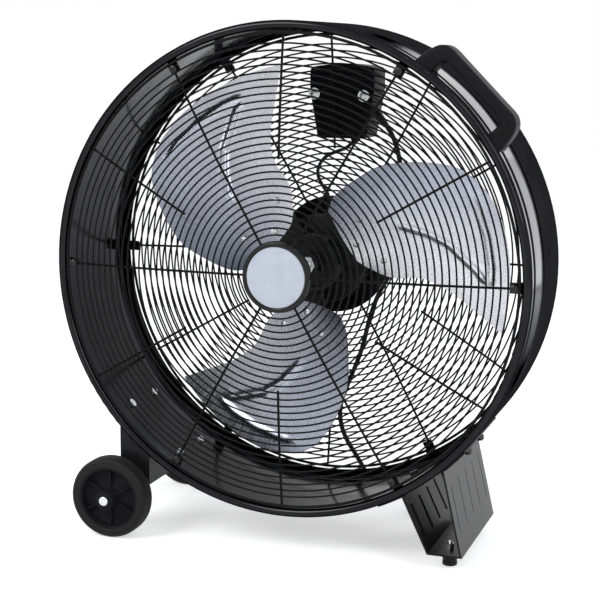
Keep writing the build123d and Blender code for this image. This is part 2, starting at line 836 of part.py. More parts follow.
def box_slab(inset, corner, front, back, mode=Mode.ADD):
    """Adds or cuts a slab with the box's outline and rounded corners."""
    with BuildSketch(face_on(back)) as shield:
        box_outline(inset)
        fillet(shield.vertices(), corner)
    slab(shield.sketch, front, back, mode)


screw_gap = between_rings(hypot(washer_spacing / 2, washer_height))
washer_spots = [
    (x, sqrt(screw_gap**2 - x**2))
    for x in (box_centre_x - washer_spacing / 2, box_centre_x + washer_spacing / 2)
]
washer_back = rear_guard_depth(screw_gap + ring_pitch / 2) - ring_wire / 2
washer_front = washer_back - 1.8
standoff_seat = rear_guard_depth(screw_gap - ring_pitch / 2) + ring_wire / 2
cover_screw_spots = [
    (box_centre_x - box_bottom_half + 9, box_bottom + 9),
    (box_centre_x + box_bottom_half - 9, box_bottom + 9),
    (box_centre_x - box_top_half + 9, box_top - 9),
    (box_centre_x + box_top_half - 9, box_top - 9),
]
box_screw_radius = 2.6
knob_centre = (box_centre_x, (box_shoulder + box_bottom) / 2 + 8)
switch_front = box_back - 24
gland_height = box_bottom + 0.56 * (box_shoulder - box_bottom)
wall_share = (gland_height - box_bottom) / (box_shoulder - box_bottom)
gland_wall_x = box_centre_x + box_bottom_half + wall_share * (box_top_half - box_bottom_half)
cord_depth = box_front + cord_inset

with BuildPart() as switch_box_body:
    box_slab(0, 7, box_front, box_back)
    box_slab(box_wall, 5, box_front + box_wall, box_back, Mode.SUBTRACT)
    for spot in washer_spots:
        disc(6.5, standoff_seat, box_front + 12, centre=spot)
        disc(box_screw_radius, standoff_seat, box_front + 12, Mode.SUBTRACT, spot)
    for spot in cover_screw_spots:
        disc(5.0, box_front + box_wall, box_back, centre=spot)
        disc(1.6, box_back - 14, box_back, Mode.SUBTRACT, spot)
save(switch_box_body, "switch_box_body")

with BuildPart() as switch_box_cover:
    box_slab(0, 7, box_back, box_back + box_wall)
    disc(spindle_radius + 0.5, box_back, box_back + box_wall, Mode.SUBTRACT, knob_centre)
    for spot in cover_screw_spots:
        disc(1.6, box_back, box_back + box_wall, Mode.SUBTRACT, spot)
save(switch_box_cover, "switch_box_cover")

with BuildPart() as cover_screws:
    for spot in cover_screw_spots:
        disc(1.6, box_back - 10, box_back + box_wall, centre=spot)
        disc(3.2, box_back + box_wall, box_back + box_wall + 1.8, centre=spot)
save(cover_screws, "cover_screws")

with BuildPart() as box_washers:
    for spot in washer_spots:
        disc(washer_radius, washer_front, washer_back, centre=spot)
        disc(box_screw_radius, washer_front, washer_back, Mode.SUBTRACT, spot)
save(box_washers, "box_washers")

with BuildPart() as box_screws:
    for spot in washer_spots:
        disc(box_screw_radius, washer_front, box_front + 10, centre=spot)
        disc(2 * box_screw_radius, washer_front - 2.6, washer_front, centre=spot)
save(box_screws, "box_screws")

with BuildPart() as speed_switch:
    with BuildSketch(face_on(box_back)) as switch_face:
        with Locations(knob_centre):
            RectangleRounded(30, 30, 3)
    slab(switch_face.sketch, switch_front, box_back)
    disc(spindle_radius + 0.05, switch_front + 6, box_back, Mode.SUBTRACT, knob_centre)
save(speed_switch, "speed_switch")

capacitor_size = (44.0, 20.0)
with BuildPart() as run_capacitor:
    with BuildSketch(face_on(box_front + box_wall + 30)) as capacitor_face:
        with Locations((box_centre_x, box_top - capacitor_size[1])):
            RectangleRounded(*capacitor_size, 3)
    slab(capacitor_face.sketch, box_front + box_wall, box_front + box_wall + 30)
save(run_capacitor, "run_capacitor")

with BuildPart() as speed_knob:
    disc(knob_radius, knob_front, knob_front + 4, centre=knob_centre)
    disc(knob_radius * 0.86, knob_front + 4, knob_back, centre=knob_centre)
    with BuildSketch(face_on(knob_back)) as grip_cuts:
        with Locations(knob_centre):
            with Locations((knob_radius * 0.72, 0), (-knob_radius * 0.72, 0)):
                Rectangle(knob_radius * 0.8, 2.4 * knob_radius)
    slab(grip_cuts.sketch, knob_front + 5.5, knob_back, Mode.SUBTRACT)
    disc(spindle_radius, switch_front + 6.5, knob_front, centre=knob_centre)
save(speed_knob, "speed_knob")

# The cord's gland leaves the side of the box half downward.
gland_turn = 50.0
gland_way = Vector(cos(radians(gland_turn)), 0, -sin(radians(gland_turn)))
gland_root = point(gland_wall_x + 0.1, cord_depth, gland_height)
gland_end = gland_root + gland_way * gland_length

with BuildPart() as cord_gland:
    gland_plane = Plane(origin=gland_root, x_dir=(0, 1, 0), z_dir=gland_way)
    with BuildSketch(gland_plane.offset(gland_collar_length)) as collar_end:
        Circle(gland_collar * 0.8)
    with BuildSketch(gland_plane.offset(gland_length)) as relief_end:
        Circle(gland_tip_radius)
    loft([collar_end.sketch.face(), relief_end.sketch.face()])
    rod(gland_plane.offset(-gland_collar), gland_collar, gland_collar + gland_collar_length)
    box_slab(0, 7, box_front, box_back, Mode.SUBTRACT)
save(cord_gland, "cord_gland")


# ---------------------------------------------------------------- motor lead
# It leaves the motor upward and passes the rear guard between two rings.
lead_gap = between_rings(box_bottom - lead_drop)
lead_depth = (housing_front + housing_back) / 2
lead_gland_way = Vector(-0.64, -0.30, -0.71).normalized()
lead_box_root = point(27, box_front + 16, box_bottom + 1)
lead_box_end = lead_box_root + lead_gland_way * (lead_gland_length + 3)
lead_route = [
    point(2, lead_depth, motor_radius + lead_gland_length),
    point(2, lead_depth, motor_radius + 27),
    point(-9, lead_depth + 1, 101),
    point(-20, lead_depth + 5, 120),
    point(-12, lead_depth + 12, 141),
    point(8, rear_guard_centre - 14, lead_gap - 0.4),
    lead_box_end + lead_gland_way * 14,
    lead_box_end,
]

with BuildPart() as motor_lead:
    lead_length = tube(lead_route, lead_radius)
save(motor_lead, "motor_lead")

with BuildPart() as lead_glands:
    rod(Plane(origin=lead_route[0], z_dir=(0, 0, -1)), lead_gland_radius, lead_gland_length + 1)
    rod(Plane(origin=lead_box_end, z_dir=-lead_gland_way), lead_gland_radius, lead_gland_length + 4)
    disc(motor_radius, housing_front, housing_back, Mode.SUBTRACT)
    motor_fins(Mode.SUBTRACT)
    box_slab(0, 7, box_front, box_back, Mode.SUBTRACT)
save(lead_glands, "lead_glands")


# ---------------------------------------------------------------- handle
handle_plane = Plane(
    origin=point(0, handle_front, 0),
    x_dir=(-sin(radians(handle_angle)), 0, cos(radians(handle_angle))),
    z_dir=(0, 1, 0),
)
handle_top = drum_radius + handle_height
handle_half = handle_opening / 2 + handle_leg

with BuildPart() as handle_grip:
    with BuildSketch(handle_plane) as bail_face:
        with BuildLine():
            Polyline(
                (handle_half + handle_foot_flare, drum_radius * 0.94),
                (handle_half + handle_foot_flare, drum_radius * 0.975),
                (handle_half - 2, handle_top - 12),
                (handle_half - 16, handle_top),
                (-handle_half + 16, handle_top),
                (-handle_half + 2, handle_top - 12),
                (-handle_half - handle_foot_flare, drum_radius * 0.975),
                (-handle_half - handle_foot_flare, drum_radius * 0.94),
                close=True,
            )
        make_face()
        grip_bottom = handle_top - handle_bar
        opening_height = grip_bottom - drum_radius * 0.9
        with Locations((0, grip_bottom - opening_height / 2)):
            RectangleRounded(handle_opening, opening_height, 8, mode=Mode.SUBTRACT)
    extrude(bail_face.sketch, amount=handle_width)
    outer_edges = handle_grip.edges().filter_by(GeomType.LINE).filter_by(Axis.Y)
    fillet(outer_edges.group_by(SortBy.DISTANCE)[-1], 8)
    disc(drum_radius, handle_front - 1, handle_front + handle_width + 1, Mode.SUBTRACT)
    for angle in handle_bolt_angles:
        for depth in handle_bolt_depths:
            rod(outward(angle, depth, drum_radius - 2), handle_bolt_radius, 17, Mode.SUBTRACT)
save(handle_grip, "handle_grip")


def wall_bolts(angles, depths, shank, reach, head_height):
    """Adds bolts through the drum wall from the inside, with round heads on the inner wall."""
    for angle in angles:
        for depth in depths:
            bow = (2 * shank) ** 2 / (2 * drum_inside) + 0.02
            seat = outward(angle, depth, drum_inside - bow)
            rod(seat, shank, reach + bow)
            rod(seat.offset(-head_height), 2 * shank, head_height)


with BuildPart() as handle_screws:
    wall_bolts(handle_bolt_angles, handle_bolt_depths, handle_bolt_radius, 15, 3)
save(handle_screws, "handle_screws")


# ---------------------------------------------------------------- brackets
def bracket_flange(edge_angle, side):
    """Adds a curved flange along the drum's outside, beside a bracket wall."""
    reach = drum_radius * 1.3
    far_angle = edge_angle + side * flange_angle
    near_angle = edge_angle - side * 0.6
    with BuildSketch(face_on(drum_depth - 2 * bracket_inset)) as flange_face:
        Circle(drum_radius + bracket_sheet)
        Circle(drum_radius, mode=Mode.SUBTRACT)
        with BuildLine():
            Polyline((0, 0), polar(reach, near_angle), polar(reach, far_angle), close=True)
        make_face(mode=Mode.INTERSECT)
    slab(flange_face.sketch, 2 * bracket_inset, drum_depth - 2 * bracket_inset)


def flange_holes(angles):
    """Cuts the bolt holes of the flanges."""
    for angle in angles:
        for depth in flange_bolt_depths:
            rod(outward(angle, depth, drum_radius - 1), flange_bolt_radius, 8, Mode.SUBTRACT)


def flange_bolts(angles):
    """Adds bolts through the drum wall and a flange, with nuts outside."""
    reach = drum_sheet + bracket_sheet + 7
    wall_bolts(angles, flange_bolt_depths, flange_bolt_radius, reach, 3.2)
    for angle in angles:
        for depth in flange_bolt_depths:
            hexagon(outward(angle, depth, drum_radius + bracket_sheet), 5.6, 5)


axle_z = wheel_radius - axis_height
axle_spot = (axle_x, axle_z)
lobe_radius = 15.0

with BuildPart() as wheel_bracket:
    bracket_middle = (wheel_bracket_left + wheel_bracket_right) / 2
    bracket_span = wheel_bracket_right - wheel_bracket_left
    channel_top = -drum_radius * 0.6
    with BuildSketch(face_on(bracket_back)) as channel:
        with Locations((bracket_middle, (channel_top - wheel_bracket_drop) / 2)):
            Rectangle(bracket_span, channel_top + wheel_bracket_drop)
        with Locations((bracket_middle, (channel_top - wheel_bracket_drop) / 2 + bracket_sheet)):
            Rectangle(
                bracket_span - 2 * bracket_sheet, channel_top + wheel_bracket_drop, mode=Mode.SUBTRACT
            )
    slab(channel.sketch, bracket_inset, bracket_back)
    for plate_front in (bracket_inset, bracket_back - bracket_sheet):
        with BuildSketch(face_on(plate_front + bracket_sheet)) as end_plate:
            with Locations((bracket_middle, (channel_top - wheel_bracket_drop) / 2)):
                Rectangle(bracket_span, channel_top + wheel_bracket_drop)
            with BuildSketch(mode=Mode.PRIVATE) as lobe:
                with Locations(axle_spot):
                    Circle(lobe_radius)
                with Locations(
                    (wheel_bracket_left + 6, -wheel_bracket_drop + 24),
                    (wheel_bracket_right - 8, -wheel_bracket_drop + 8),
                ):
                    Circle(6)
                make_hull()
            add(lobe.sketch)
        slab(end_plate.sketch, plate_front, plate_front + bracket_sheet)
    disc(drum_radius, -1, drum_depth + 1, Mode.SUBTRACT)
    bracket_flange(wheel_flange_angles[0], -1)
    bracket_flange(wheel_flange_angles[1], 1)
    flange_holes(flange_bolt_angles[:2])
    disc(axle_radius, -1, drum_depth + 1, Mode.SUBTRACT, axle_spot)
save(wheel_bracket, "wheel_bracket")

with BuildPart() as wheel_bracket_bolts:
    flange_bolts(flange_bolt_angles[:2])
save(wheel_bracket_bolts, "wheel_bracket_bolts")

foot_top_left = polar(drum_radius, foot_top_left_angle)
foot_top_right = polar(drum_radius, foot_top_right_angle)
foot_bottom = bumper_height - axis_height
foot_left = ((foot_top_left[0], foot_top_left[1]), (foot_bottom_left, foot_bottom))
foot_right = ((foot_top_right[0], foot_top_right[1]), (foot_bottom_right, foot_bottom))


def past_drum(wall):
    """A foot wall's line carried up past the drum's surface."""
    (top_x, top_z), (low_x, low_z) = wall
    return (top_x + 0.3 * (top_x - low_x), top_z + 0.3 * (top_z - low_z))


def foot_ribs(wall, outward_x):
    """Presses upright ribs into a foot wall: grooves on its outer face, ridges on the inner one."""
    (top_x, top_z), (low_x, low_z) = wall
    up = Vector(top_x - low_x, 0, top_z - low_z)
    slope_length = up.length
    normal = Vector(0, 1, 0).cross(up.normalized())
    if normal.X * outward_x < 0:
        normal = -normal
    middle = Vector(low_x, 0, low_z) + up * 0.52
    origin = point(middle.X, drum_depth / 2, middle.Z)
    face = Plane(origin=origin, x_dir=(0, 1, 0), z_dir=normal)
    rib_step = (drum_depth - 2 * bracket_inset) / foot_rib_count
    rib_length = slope_length * 0.56
    with BuildSketch(face.offset(-bracket_sheet - foot_rib_height)) as ridges:
        with GridLocations(rib_step, 1, foot_rib_count, 1):
            SlotOverall(rib_length, foot_rib_width, rotation=90)
    extrude(ridges.sketch, amount=foot_rib_height + 0.2)
    with BuildSketch(face.offset(-foot_rib_height)) as grooves:
        with GridLocations(rib_step, 1, foot_rib_count, 1):
            SlotOverall(rib_length - 2, foot_rib_width - 2, rotation=90)
    extrude(grooves.sketch, amount=2 * foot_rib_height, mode=Mode.SUBTRACT)


bumper_spots = [
    ((foot_bottom_left + foot_bottom_right) / 2, bracket_inset + bumper_inset),
    ((foot_bottom_left + foot_bottom_right) / 2, drum_depth - bracket_inset - bumper_inset),
]


def floor_plane(spot, height):
    """Level plane above the floor at a bumper's place, facing up."""
    return Plane(origin=(spot[0], rim_front_y + spot[1], height), z_dir=(0, 0, 1))


with BuildPart() as foot_bracket:
    with BuildSketch(face_on(bracket_back)) as foot_face:
        with BuildLine():
            foot_corners = [past_drum(foot_left), foot_left[1], foot_right[1], past_drum(foot_right)]
            Polyline(*foot_corners, close=True)
        make_face()
        offset(amount=-bracket_sheet, kind=Kind.INTERSECTION, mode=Mode.SUBTRACT)
    slab(foot_face.sketch, bracket_inset, bracket_back)
    disc(drum_radius, -1, drum_depth + 1, Mode.SUBTRACT)
    foot_ribs(foot_left, -1)
    foot_ribs(foot_right, 1)
    bracket_flange(foot_flange_angles[0], -1)
    bracket_flange(foot_flange_angles[1], 1)
    flange_holes(flange_bolt_angles[2:])
    for spot in bumper_spots:
        rod(floor_plane(spot, bumper_height - 1), bumper_screw_radius, bracket_sheet + 2, Mode.SUBTRACT)
save(foot_bracket, "foot_bracket")

with BuildPart() as foot_bracket_bolts:
    flange_bolts(flange_bolt_angles[2:])
save(foot_bracket_bolts, "foot_bracket_bolts")

with BuildPart() as foot_bumpers:
    for spot in bumper_spots:
        with BuildSketch(floor_plane(spot, 0)) as bumper_base:
            Circle(bumper_radius)
        extrude(bumper_base.sketch, amount=bumper_height, taper=2)
        rod(floor_plane(spot, 0), bumper_screw_radius, bumper_height, Mode.SUBTRACT)
        rod(floor_plane(spot, 0), 2 * bumper_screw_radius, 6, Mode.SUBTRACT)
save(foot_bumpers, "foot_bumpers")

with BuildPart() as bumper_screws:
    for spot in bumper_spots:
        rod(floor_plane(spot, 6), bumper_screw_radius, bumper_height + bracket_sheet + 3)
        rod(floor_plane(spot, 2.5), 1.8 * bumper_screw_radius, 3.5)
        hexagon(floor_plane(spot, bumper_height + bracket_sheet), 1.9 * bumper_screw_radius, 6)
save(bumper_screws, "bumper_screws")


# ---------------------------------------------------------------- axle and wheels
with BuildPart() as wheel_axle:
    disc(axle_radius, axle_front + 1, axle_back - 1, centre=axle_spot)
save(wheel_axle, "wheel_axle")

with BuildPart() as axle_caps:
    for cap_front in (axle_front, axle_back - cap_length):
        disc(cap_radius, cap_front, cap_front + cap_length, centre=axle_spot)
    disc(axle_radius, axle_front + 1, axle_back - 1, Mode.SUBTRACT, axle_spot)
save(axle_caps, "axle_caps")

with BuildPart() as rear_wheel_spacer:
    spacer_front = bracket_back
    spacer_back = wheel_inner_back - side_clearance
    disc(axle_radius + 4, spacer_front, spacer_back, centre=axle_spot)
    disc(axle_radius, spacer_front, spacer_back, Mode.SUBTRACT, axle_spot)
save(rear_wheel_spacer, "rear_wheel_spacer")

rim_radius = wheel_radius - tyre_depth


def wheel_hub(inner_face, outward_side):
    """Adds a moulded wheel centre: rim, web, six ribs and a long boss on the outer side."""
    outer_face = inner_face + outward_side * wheel_width
    boss_face = outer_face + outward_side * hub_overhang
    low, high = sorted((inner_face + outward_side * 1.5, outer_face - outward_side * 1.5))
    disc(rim_radius, low, high, centre=axle_spot)
    disc(rim_radius - 4, low, high, Mode.SUBTRACT, axle_spot)
    web_middle = inner_face + outward_side * wheel_width * 0.45
    disc(rim_radius - 3, web_middle - 2, web_middle + 2, centre=axle_spot)
    low, high = sorted((web_middle, outer_face - outward_side * 3))
    with BuildSketch(face_on(high)) as ribs:
        with Locations(axle_spot):
            with PolarLocations(rim_radius / 2, 6, start_angle=30):
                Rectangle(rim_radius - 4, 4)
    slab(ribs.sketch, low, high)
    low, high = sorted((inner_face, boss_face))
    disc(axle_radius + 8, low, high, centre=axle_spot)
    disc(axle_radius + axle_clearance, low, high, Mode.SUBTRACT, axle_spot)


def tyre(inner_face, outward_side):
    """Adds a solid tyre with rounded shoulders."""
    outer_face = inner_face + outward_side * wheel_width
    low, high = sorted((inner_face, outer_face))
    level = Plane(origin=point(axle_x, 0, axle_z), x_dir=(1, 0, 0), z_dir=(0, 0, 1))
    with BuildSketch(level) as section:
        with Locations((wheel_radius - tyre_depth / 2, (low + high) / 2)):
            RectangleRounded(tyre_depth, wheel_width, tyre_depth * 0.42)
        with Locations((rim_radius, (low + high) / 2)):
            Rectangle(tyre_depth * 0.7, wheel_width - 3, align=(Align.MIN, Align.CENTER))
    revolve(section.sketch, axis=Axis(point(axle_x, 0, axle_z), (0, 1, 0)))


with BuildPart() as front_wheel_hub:
    wheel_hub(wheel_inner_front, -1)
save(front_wheel_hub, "front_wheel_hub")

with BuildPart() as front_tyre:
    tyre(wheel_inner_front, -1)
save(front_tyre, "front_tyre")

with BuildPart() as rear_wheel_hub:
    wheel_hub(wheel_inner_back, 1)
save(rear_wheel_hub, "rear_wheel_hub")

with BuildPart() as rear_tyre:
    tyre(wheel_inner_back, 1)
save(rear_tyre, "rear_tyre")


# ---------------------------------------------------------------- power cord
# The hanging stretch, and then the way along the floor to the coil's outer turn.
coil_outer = coil_radius + coil_turns_across * cord_radius
coil_inner = coil_radius - coil_turns_across * cord_radius
outer_turn = coil_outer - cord_radius
floor_z = tie_sheet + cord_radius - axis_height
cord_route = [
    gland_end,
    gland_end + gland_way * 16,
    point(88, cord_depth, 142),
    point(97, cord_depth, 88),
    point(98, cord_depth, 32),
    point(86, cord_depth, -16),
    point(61, cord_depth, -56),
    point(46, cord_depth, -98),
    point(36, cord_depth, -146),
    point(16, cord_depth, -195),
    point(0, cord_depth, -238),
    point(7, cord_depth, -278),
    point(31, cord_depth + 3, -314),
    point(46, cord_depth + 16, -350),
    point(47, cord_depth + 42, floor_z + 2),
    point(coil_centre[0] - outer_turn, coil_centre[1] - 12, floor_z),
]

with BuildPart() as power_cord:
    cord_run = tube(cord_route, cord_radius)
save(power_cord, "power_cord")

coil_height = coil_layers * 2 * cord_radius + 0.4
coil_at = Plane(origin=(coil_centre[0], rim_front_y + coil_centre[1], tie_sheet), z_dir=(0, 0, 1))

with BuildPart() as cord_coil:
    with BuildSketch(coil_at) as coil_ring:
        Circle(coil_outer)
        Circle(coil_inner, mode=Mode.SUBTRACT)
    extrude(coil_ring.sketch, amount=coil_height)
    fillet(cord_coil.edges(), cord_radius * 0.8)
save(cord_coil, "cord_coil")

with BuildPart() as cord_tie:
    tie_across = coil_outer - coil_inner + 1.0
    tie_origin = coil_at.origin + Vector(0, coil_radius, 0)
    tie_plane = Plane(origin=tie_origin, x_dir=(0, 1, 0), z_dir=(1, 0, 0))
    with BuildSketch(tie_plane.offset(-tie_width / 2)) as band:
        with Locations((0, coil_height / 2)):
            RectangleRounded(tie_across + 2 * tie_sheet, coil_height + 2 * tie_sheet, 3.5)
            RectangleRounded(tie_across, coil_height, 1.0, mode=Mode.SUBTRACT)
    extrude(band.sketch, amount=tie_width)
save(cord_tie, "cord_tie")

# The plug lies beside the coil with its pins toward the fan.
upper_layer_z = tie_sheet + 3 * cord_radius - axis_height
tail_start = point(coil_centre[0] + outer_turn, coil_centre[1] - 12, upper_layer_z)
plug_middle = tail_start + Vector(5.5, -50, plug_radius - tie_sheet - 3 * cord_radius)
tail_route = [
    tail_start,
    tail_start + Vector(0, -17, 0.8),
    plug_middle + Vector(0, 16, 0),
    plug_middle,
]

with BuildPart() as cord_tail:
    tail_run = tube(tail_route, cord_radius)
save(cord_tail, "cord_tail")

plug_plane = Plane(origin=plug_middle, x_dir=(1, 0, 0), z_dir=(0, -1, 0))

with BuildPart() as plug_body:
    with BuildSketch(plug_plane) as neck_back:
        Circle(cord_radius + 1.5)
    with BuildSketch(plug_plane.offset(plug_neck)) as neck_front:
        Circle(plug_radius * 0.62)
    loft([neck_back.sketch.face(), neck_front.sketch.face()])
    rod(plug_plane.offset(plug_neck), plug_radius, plug_length)
    fillet(plug_body.edges().filter_by(GeomType.CIRCLE).group_by(Axis.Y)[0], 1.5)
    body_edges = plug_body.edges().filter_by(GeomType.CIRCLE).sort_by(SortBy.RADIUS)[-2:]
    fillet(body_edges.sort_by(Axis.Y)[-1], 4)
save(plug_body, "plug_body")

with BuildPart() as plug_pins:
    with BuildSketch(plug_plane.offset(plug_neck + plug_length)) as pin_ends:
        with Locations((-pin_spacing / 2, 0), (pin_spacing / 2, 0)):
            Circle(pin_radius)
    extrude(pin_ends.sketch, amount=pin_length)
save(plug_pins, "plug_pins")

# ---------------------------------------------------------------- cord checks
coil_turns = coil_turns_across * coil_layers - 1.5
coil_run = coil_turns * 2 * pi * coil_radius
for name, route in (("motor lead", lead_route), ("power cord", cord_route), ("cord tail", tail_route)):
    print(name, "bend radii", [round(r, 1) for r in bend_radii(route)])
for name, piece, run, radius in (
    ("motor lead", motor_lead, lead_length, lead_radius),
    ("power cord", power_cord, cord_run, cord_radius),
    ("cord tail", cord_tail, tail_run, cord_radius),
):
    share = piece.part.volume / (pi * radius**2 * run)
    print(name, "length", round(run, 1), "volume share", round(share, 4))
print("cord in all", round((cord_run + coil_run + tail_run) / 1000, 3), "m")
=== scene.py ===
import json
import math

import bmesh
import bpy
from mathutils import Matrix, Vector
from mathutils.geometry import delaunay_2d_cdt


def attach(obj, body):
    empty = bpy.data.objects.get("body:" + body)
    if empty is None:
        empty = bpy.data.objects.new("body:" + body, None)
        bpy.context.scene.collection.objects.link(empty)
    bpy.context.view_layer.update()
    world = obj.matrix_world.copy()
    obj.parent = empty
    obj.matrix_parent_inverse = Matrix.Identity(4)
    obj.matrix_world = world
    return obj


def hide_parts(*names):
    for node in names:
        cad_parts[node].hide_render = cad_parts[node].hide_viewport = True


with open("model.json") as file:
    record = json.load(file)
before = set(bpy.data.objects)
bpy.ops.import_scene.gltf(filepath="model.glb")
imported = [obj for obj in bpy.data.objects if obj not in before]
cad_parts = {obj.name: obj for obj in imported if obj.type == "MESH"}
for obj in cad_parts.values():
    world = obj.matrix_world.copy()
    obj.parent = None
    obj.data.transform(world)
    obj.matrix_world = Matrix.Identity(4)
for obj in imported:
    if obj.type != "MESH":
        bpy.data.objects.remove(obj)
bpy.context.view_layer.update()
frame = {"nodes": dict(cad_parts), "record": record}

# Lengths are millimetres from the drum's axis at the front rim (right, back, up) until at()
# turns them into metres of the row frame.
MM = 0.001
RIM_Y = -131.55
AXIS_Z = 381.0
DRUM_RADIUS, DRUM_DEPTH = 330.0, 211.0
TAU = 2 * math.pi
scene = bpy.context.scene


def at(x, depth, z):
    """A place in the row frame, from millimetres right, back and up of the drum's front centre."""
    return Vector((x, RIM_Y + depth, AXIS_Z + z)) * MM


def polar(radius, degrees):
    """Right and up of a point at a radius and an angle about an axis."""
    return radius * math.cos(math.radians(degrees)), radius * math.sin(math.radians(degrees))


def smooth(value):
    """Eased step from 0 to 1."""
    value = min(1.0, max(0.0, value))
    return value * value * (3 - 2 * value)


# ---------------------------------------------------------------- camera
camera_data = bpy.data.cameras.new("photo_camera")
camera_data.sensor_width = 36.0
camera_data.lens = 86.72
camera_data.clip_end = 50.0
camera = bpy.data.objects.new("photo_camera", camera_data)
scene.collection.objects.link(camera)
camera.location = (0.64357, -1.89277, 0.67119)
camera_right = Vector((0.943495, 0.331348, 0.00516))
camera_up = Vector((-0.06097, 0.158262, 0.985513))
camera_back = Vector((0.325731, -0.930141, 0.169522))
camera.rotation_mode = "QUATERNION"
camera.rotation_quaternion = Matrix((camera_right, camera_up, camera_back)).transposed().to_quaternion()
scene.camera = camera
scene.view_settings.view_transform = "Standard"


# ---------------------------------------------------------------- finishes
PATCH_SPAN = (0.32, 0.70)
DUST_SPAN = (0.55, 0.80)
DUST_SCALE = 260.0
DUST_COLOUR = (0.30, 0.29, 0.28, 1.0)


def grey(value):
    """The same amount of red, green and blue."""
    return (value, value, value)


def feed(tree, socket, value):
    """Gives a socket a value, or links it to the output of another node."""
    if isinstance(value, bpy.types.NodeSocket):
        tree.links.new(value, socket)
    else:
        socket.default_value = value


def add(tree, kind, **sockets):
    """A new node, with a value or an output for each socket that is named, with _ for a space."""
    made = tree.nodes.new("ShaderNode" + kind)
    for socket, value in sockets.items():
        feed(tree, made.inputs[socket.replace("_", " ")], value)
    return made


def maths(tree, operation, first, second=0.0):
    """The output of a sum on two values or outputs."""
    step = add(tree, "Math")
    step.operation = operation
    feed(tree, step.inputs[0], first)
    feed(tree, step.inputs[1], second)
    return step.outputs[0]


def blend(tree, way, factor, first, second):
    """The output of two colours mixed."""
    mix = add(tree, "Mix")
    mix.data_type, mix.blend_type = "RGBA", way
    for socket, value in (("Factor", factor), ("A", first), ("B", second)):
        feed(tree, mix.inputs[socket], value)
    return mix.outputs["Result"]


def finish(
    name,
    colour,
    second,
    roughness,
    metallic=0.0,
    specular=0.5,
    patch_scale=18.0,
    grain_scale=900.0,
    grain_depth=0.00004,
    stretch=(1.0, 1.0, 1.0),
    dust=0.0,
):
    """A procedural finish: colour in soft patches, roughness that varies, fine grain as bump."""
    material = bpy.data.materials.new(name)
    material.use_nodes = True
    tree = material.node_tree
    shader = tree.nodes["Principled BSDF"]
    shader.inputs["Metallic"].default_value = metallic
    shader.inputs["Specular IOR Level"].default_value = specular
    place = add(tree, "TexCoord").outputs["Object"]
    patches = add(tree, "TexNoise", Vector=place, Scale=patch_scale, Detail=5.0).outputs["Fac"]
    colours = add(tree, "ValToRGB", Fac=patches)
    for stop, share, shade in zip(colours.color_ramp.elements, PATCH_SPAN, (colour, second)):
        stop.position = share
        stop.color = (*shade, 1.0)
    colour_out = colours.outputs["Color"]
    if dust:
        specks = add(tree, "TexNoise", Vector=place, Scale=DUST_SCALE, Detail=8.0).outputs["Fac"]
        low, high = DUST_SPAN
        settled = add(tree, "MapRange", Value=specks, From_Min=low, From_Max=high, To_Max=dust)
        colour_out = blend(tree, "MIX", settled.outputs["Result"], colour_out, DUST_COLOUR)
    feed(tree, shader.inputs["Base Color"], colour_out)
    spread = add(tree, "MapRange", Value=patches, To_Min=roughness[0], To_Max=roughness[1])
    feed(tree, shader.inputs["Roughness"], spread.outputs["Result"])
    stretched = add(tree, "Mapping", Vector=place, Scale=stretch).outputs["Vector"]
    grain = add(tree, "TexNoise", Vector=stretched, Scale=grain_scale, Detail=3.0).outputs["Fac"]
    bump = add(tree, "Bump", Strength=1.0, Distance=grain_depth, Height=grain)
    feed(tree, shader.inputs["Normal"], bump.outputs["Normal"])
    return material


# Bluish greys of the blade sheet, from painted shade through half light to painted reflection.
SHEET_PAINTED_SHADE = (0.12, 0.145, 0.19, 1.0)
SHEET_PAINTED_HALF_LIGHT = (0.50, 0.53, 0.62, 1.0)
SHEET_PAINTED_REFLECTION = (0.92, 0.94, 0.99, 1.0)
BRUSH_LOW, BRUSH_HIGH = 0.3, 0.7
STREAK_LOW, STREAK_HIGH = 0.94, 1.04


def brushed_blade(name):
    """Rolled aluminium sheet: brush lines that run out along each blade, and painted reflection and shade by
    place, in bluish greys.
    """
    material = finish(
        name, grey(0.84), grey(1.0), (0.22, 0.31), metallic=1.0, patch_scale=14.0, grain_depth=0.00001
    )
    tree = material.node_tree
    # The painted light attribute picks a colour between painted shade and painted reflection, which
    # multiplies the sheet's colour.
    painted_light, brush = add(tree, "Attribute"), add(tree, "Attribute")
    painted_light.attribute_name, brush.attribute_name = "painted_light", "brush"
    painted_shades = add(tree, "ValToRGB", Fac=painted_light.outputs["Fac"])
    painted_shades.color_ramp.elements[0].color = SHEET_PAINTED_SHADE
    painted_shades.color_ramp.elements[1].color = SHEET_PAINTED_REFLECTION
    painted_shades.color_ramp.elements.new(0.5).color = SHEET_PAINTED_HALF_LIGHT
    lines = add(tree, "TexNoise", Vector=brush.outputs["Vector"], Scale=1.0, Detail=2.0).outputs["Fac"]
    streaks = add(tree, "MapRange", Value=lines, To_Min=STREAK_LOW, To_Max=STREAK_HIGH)
    spread = tree.nodes["Map Range"]
    feed(tree, spread.inputs["Value"], lines)
    for ranged in (streaks, spread):
        ranged.inputs["From Min"].default_value = BRUSH_LOW
        ranged.inputs["From Max"].default_value = BRUSH_HIGH
    colour_out = tree.nodes["Color Ramp"].outputs["Color"]
    for layer in (painted_shades.outputs["Color"], streaks.outputs["Result"]):
        colour_out = blend(tree, "MULTIPLY", 1.0, colour_out, layer)
    feed(tree, tree.nodes["Principled BSDF"].inputs["Base Color"], colour_out)
    feed(tree, tree.nodes["Bump"].inputs["Height"], lines)
    return material


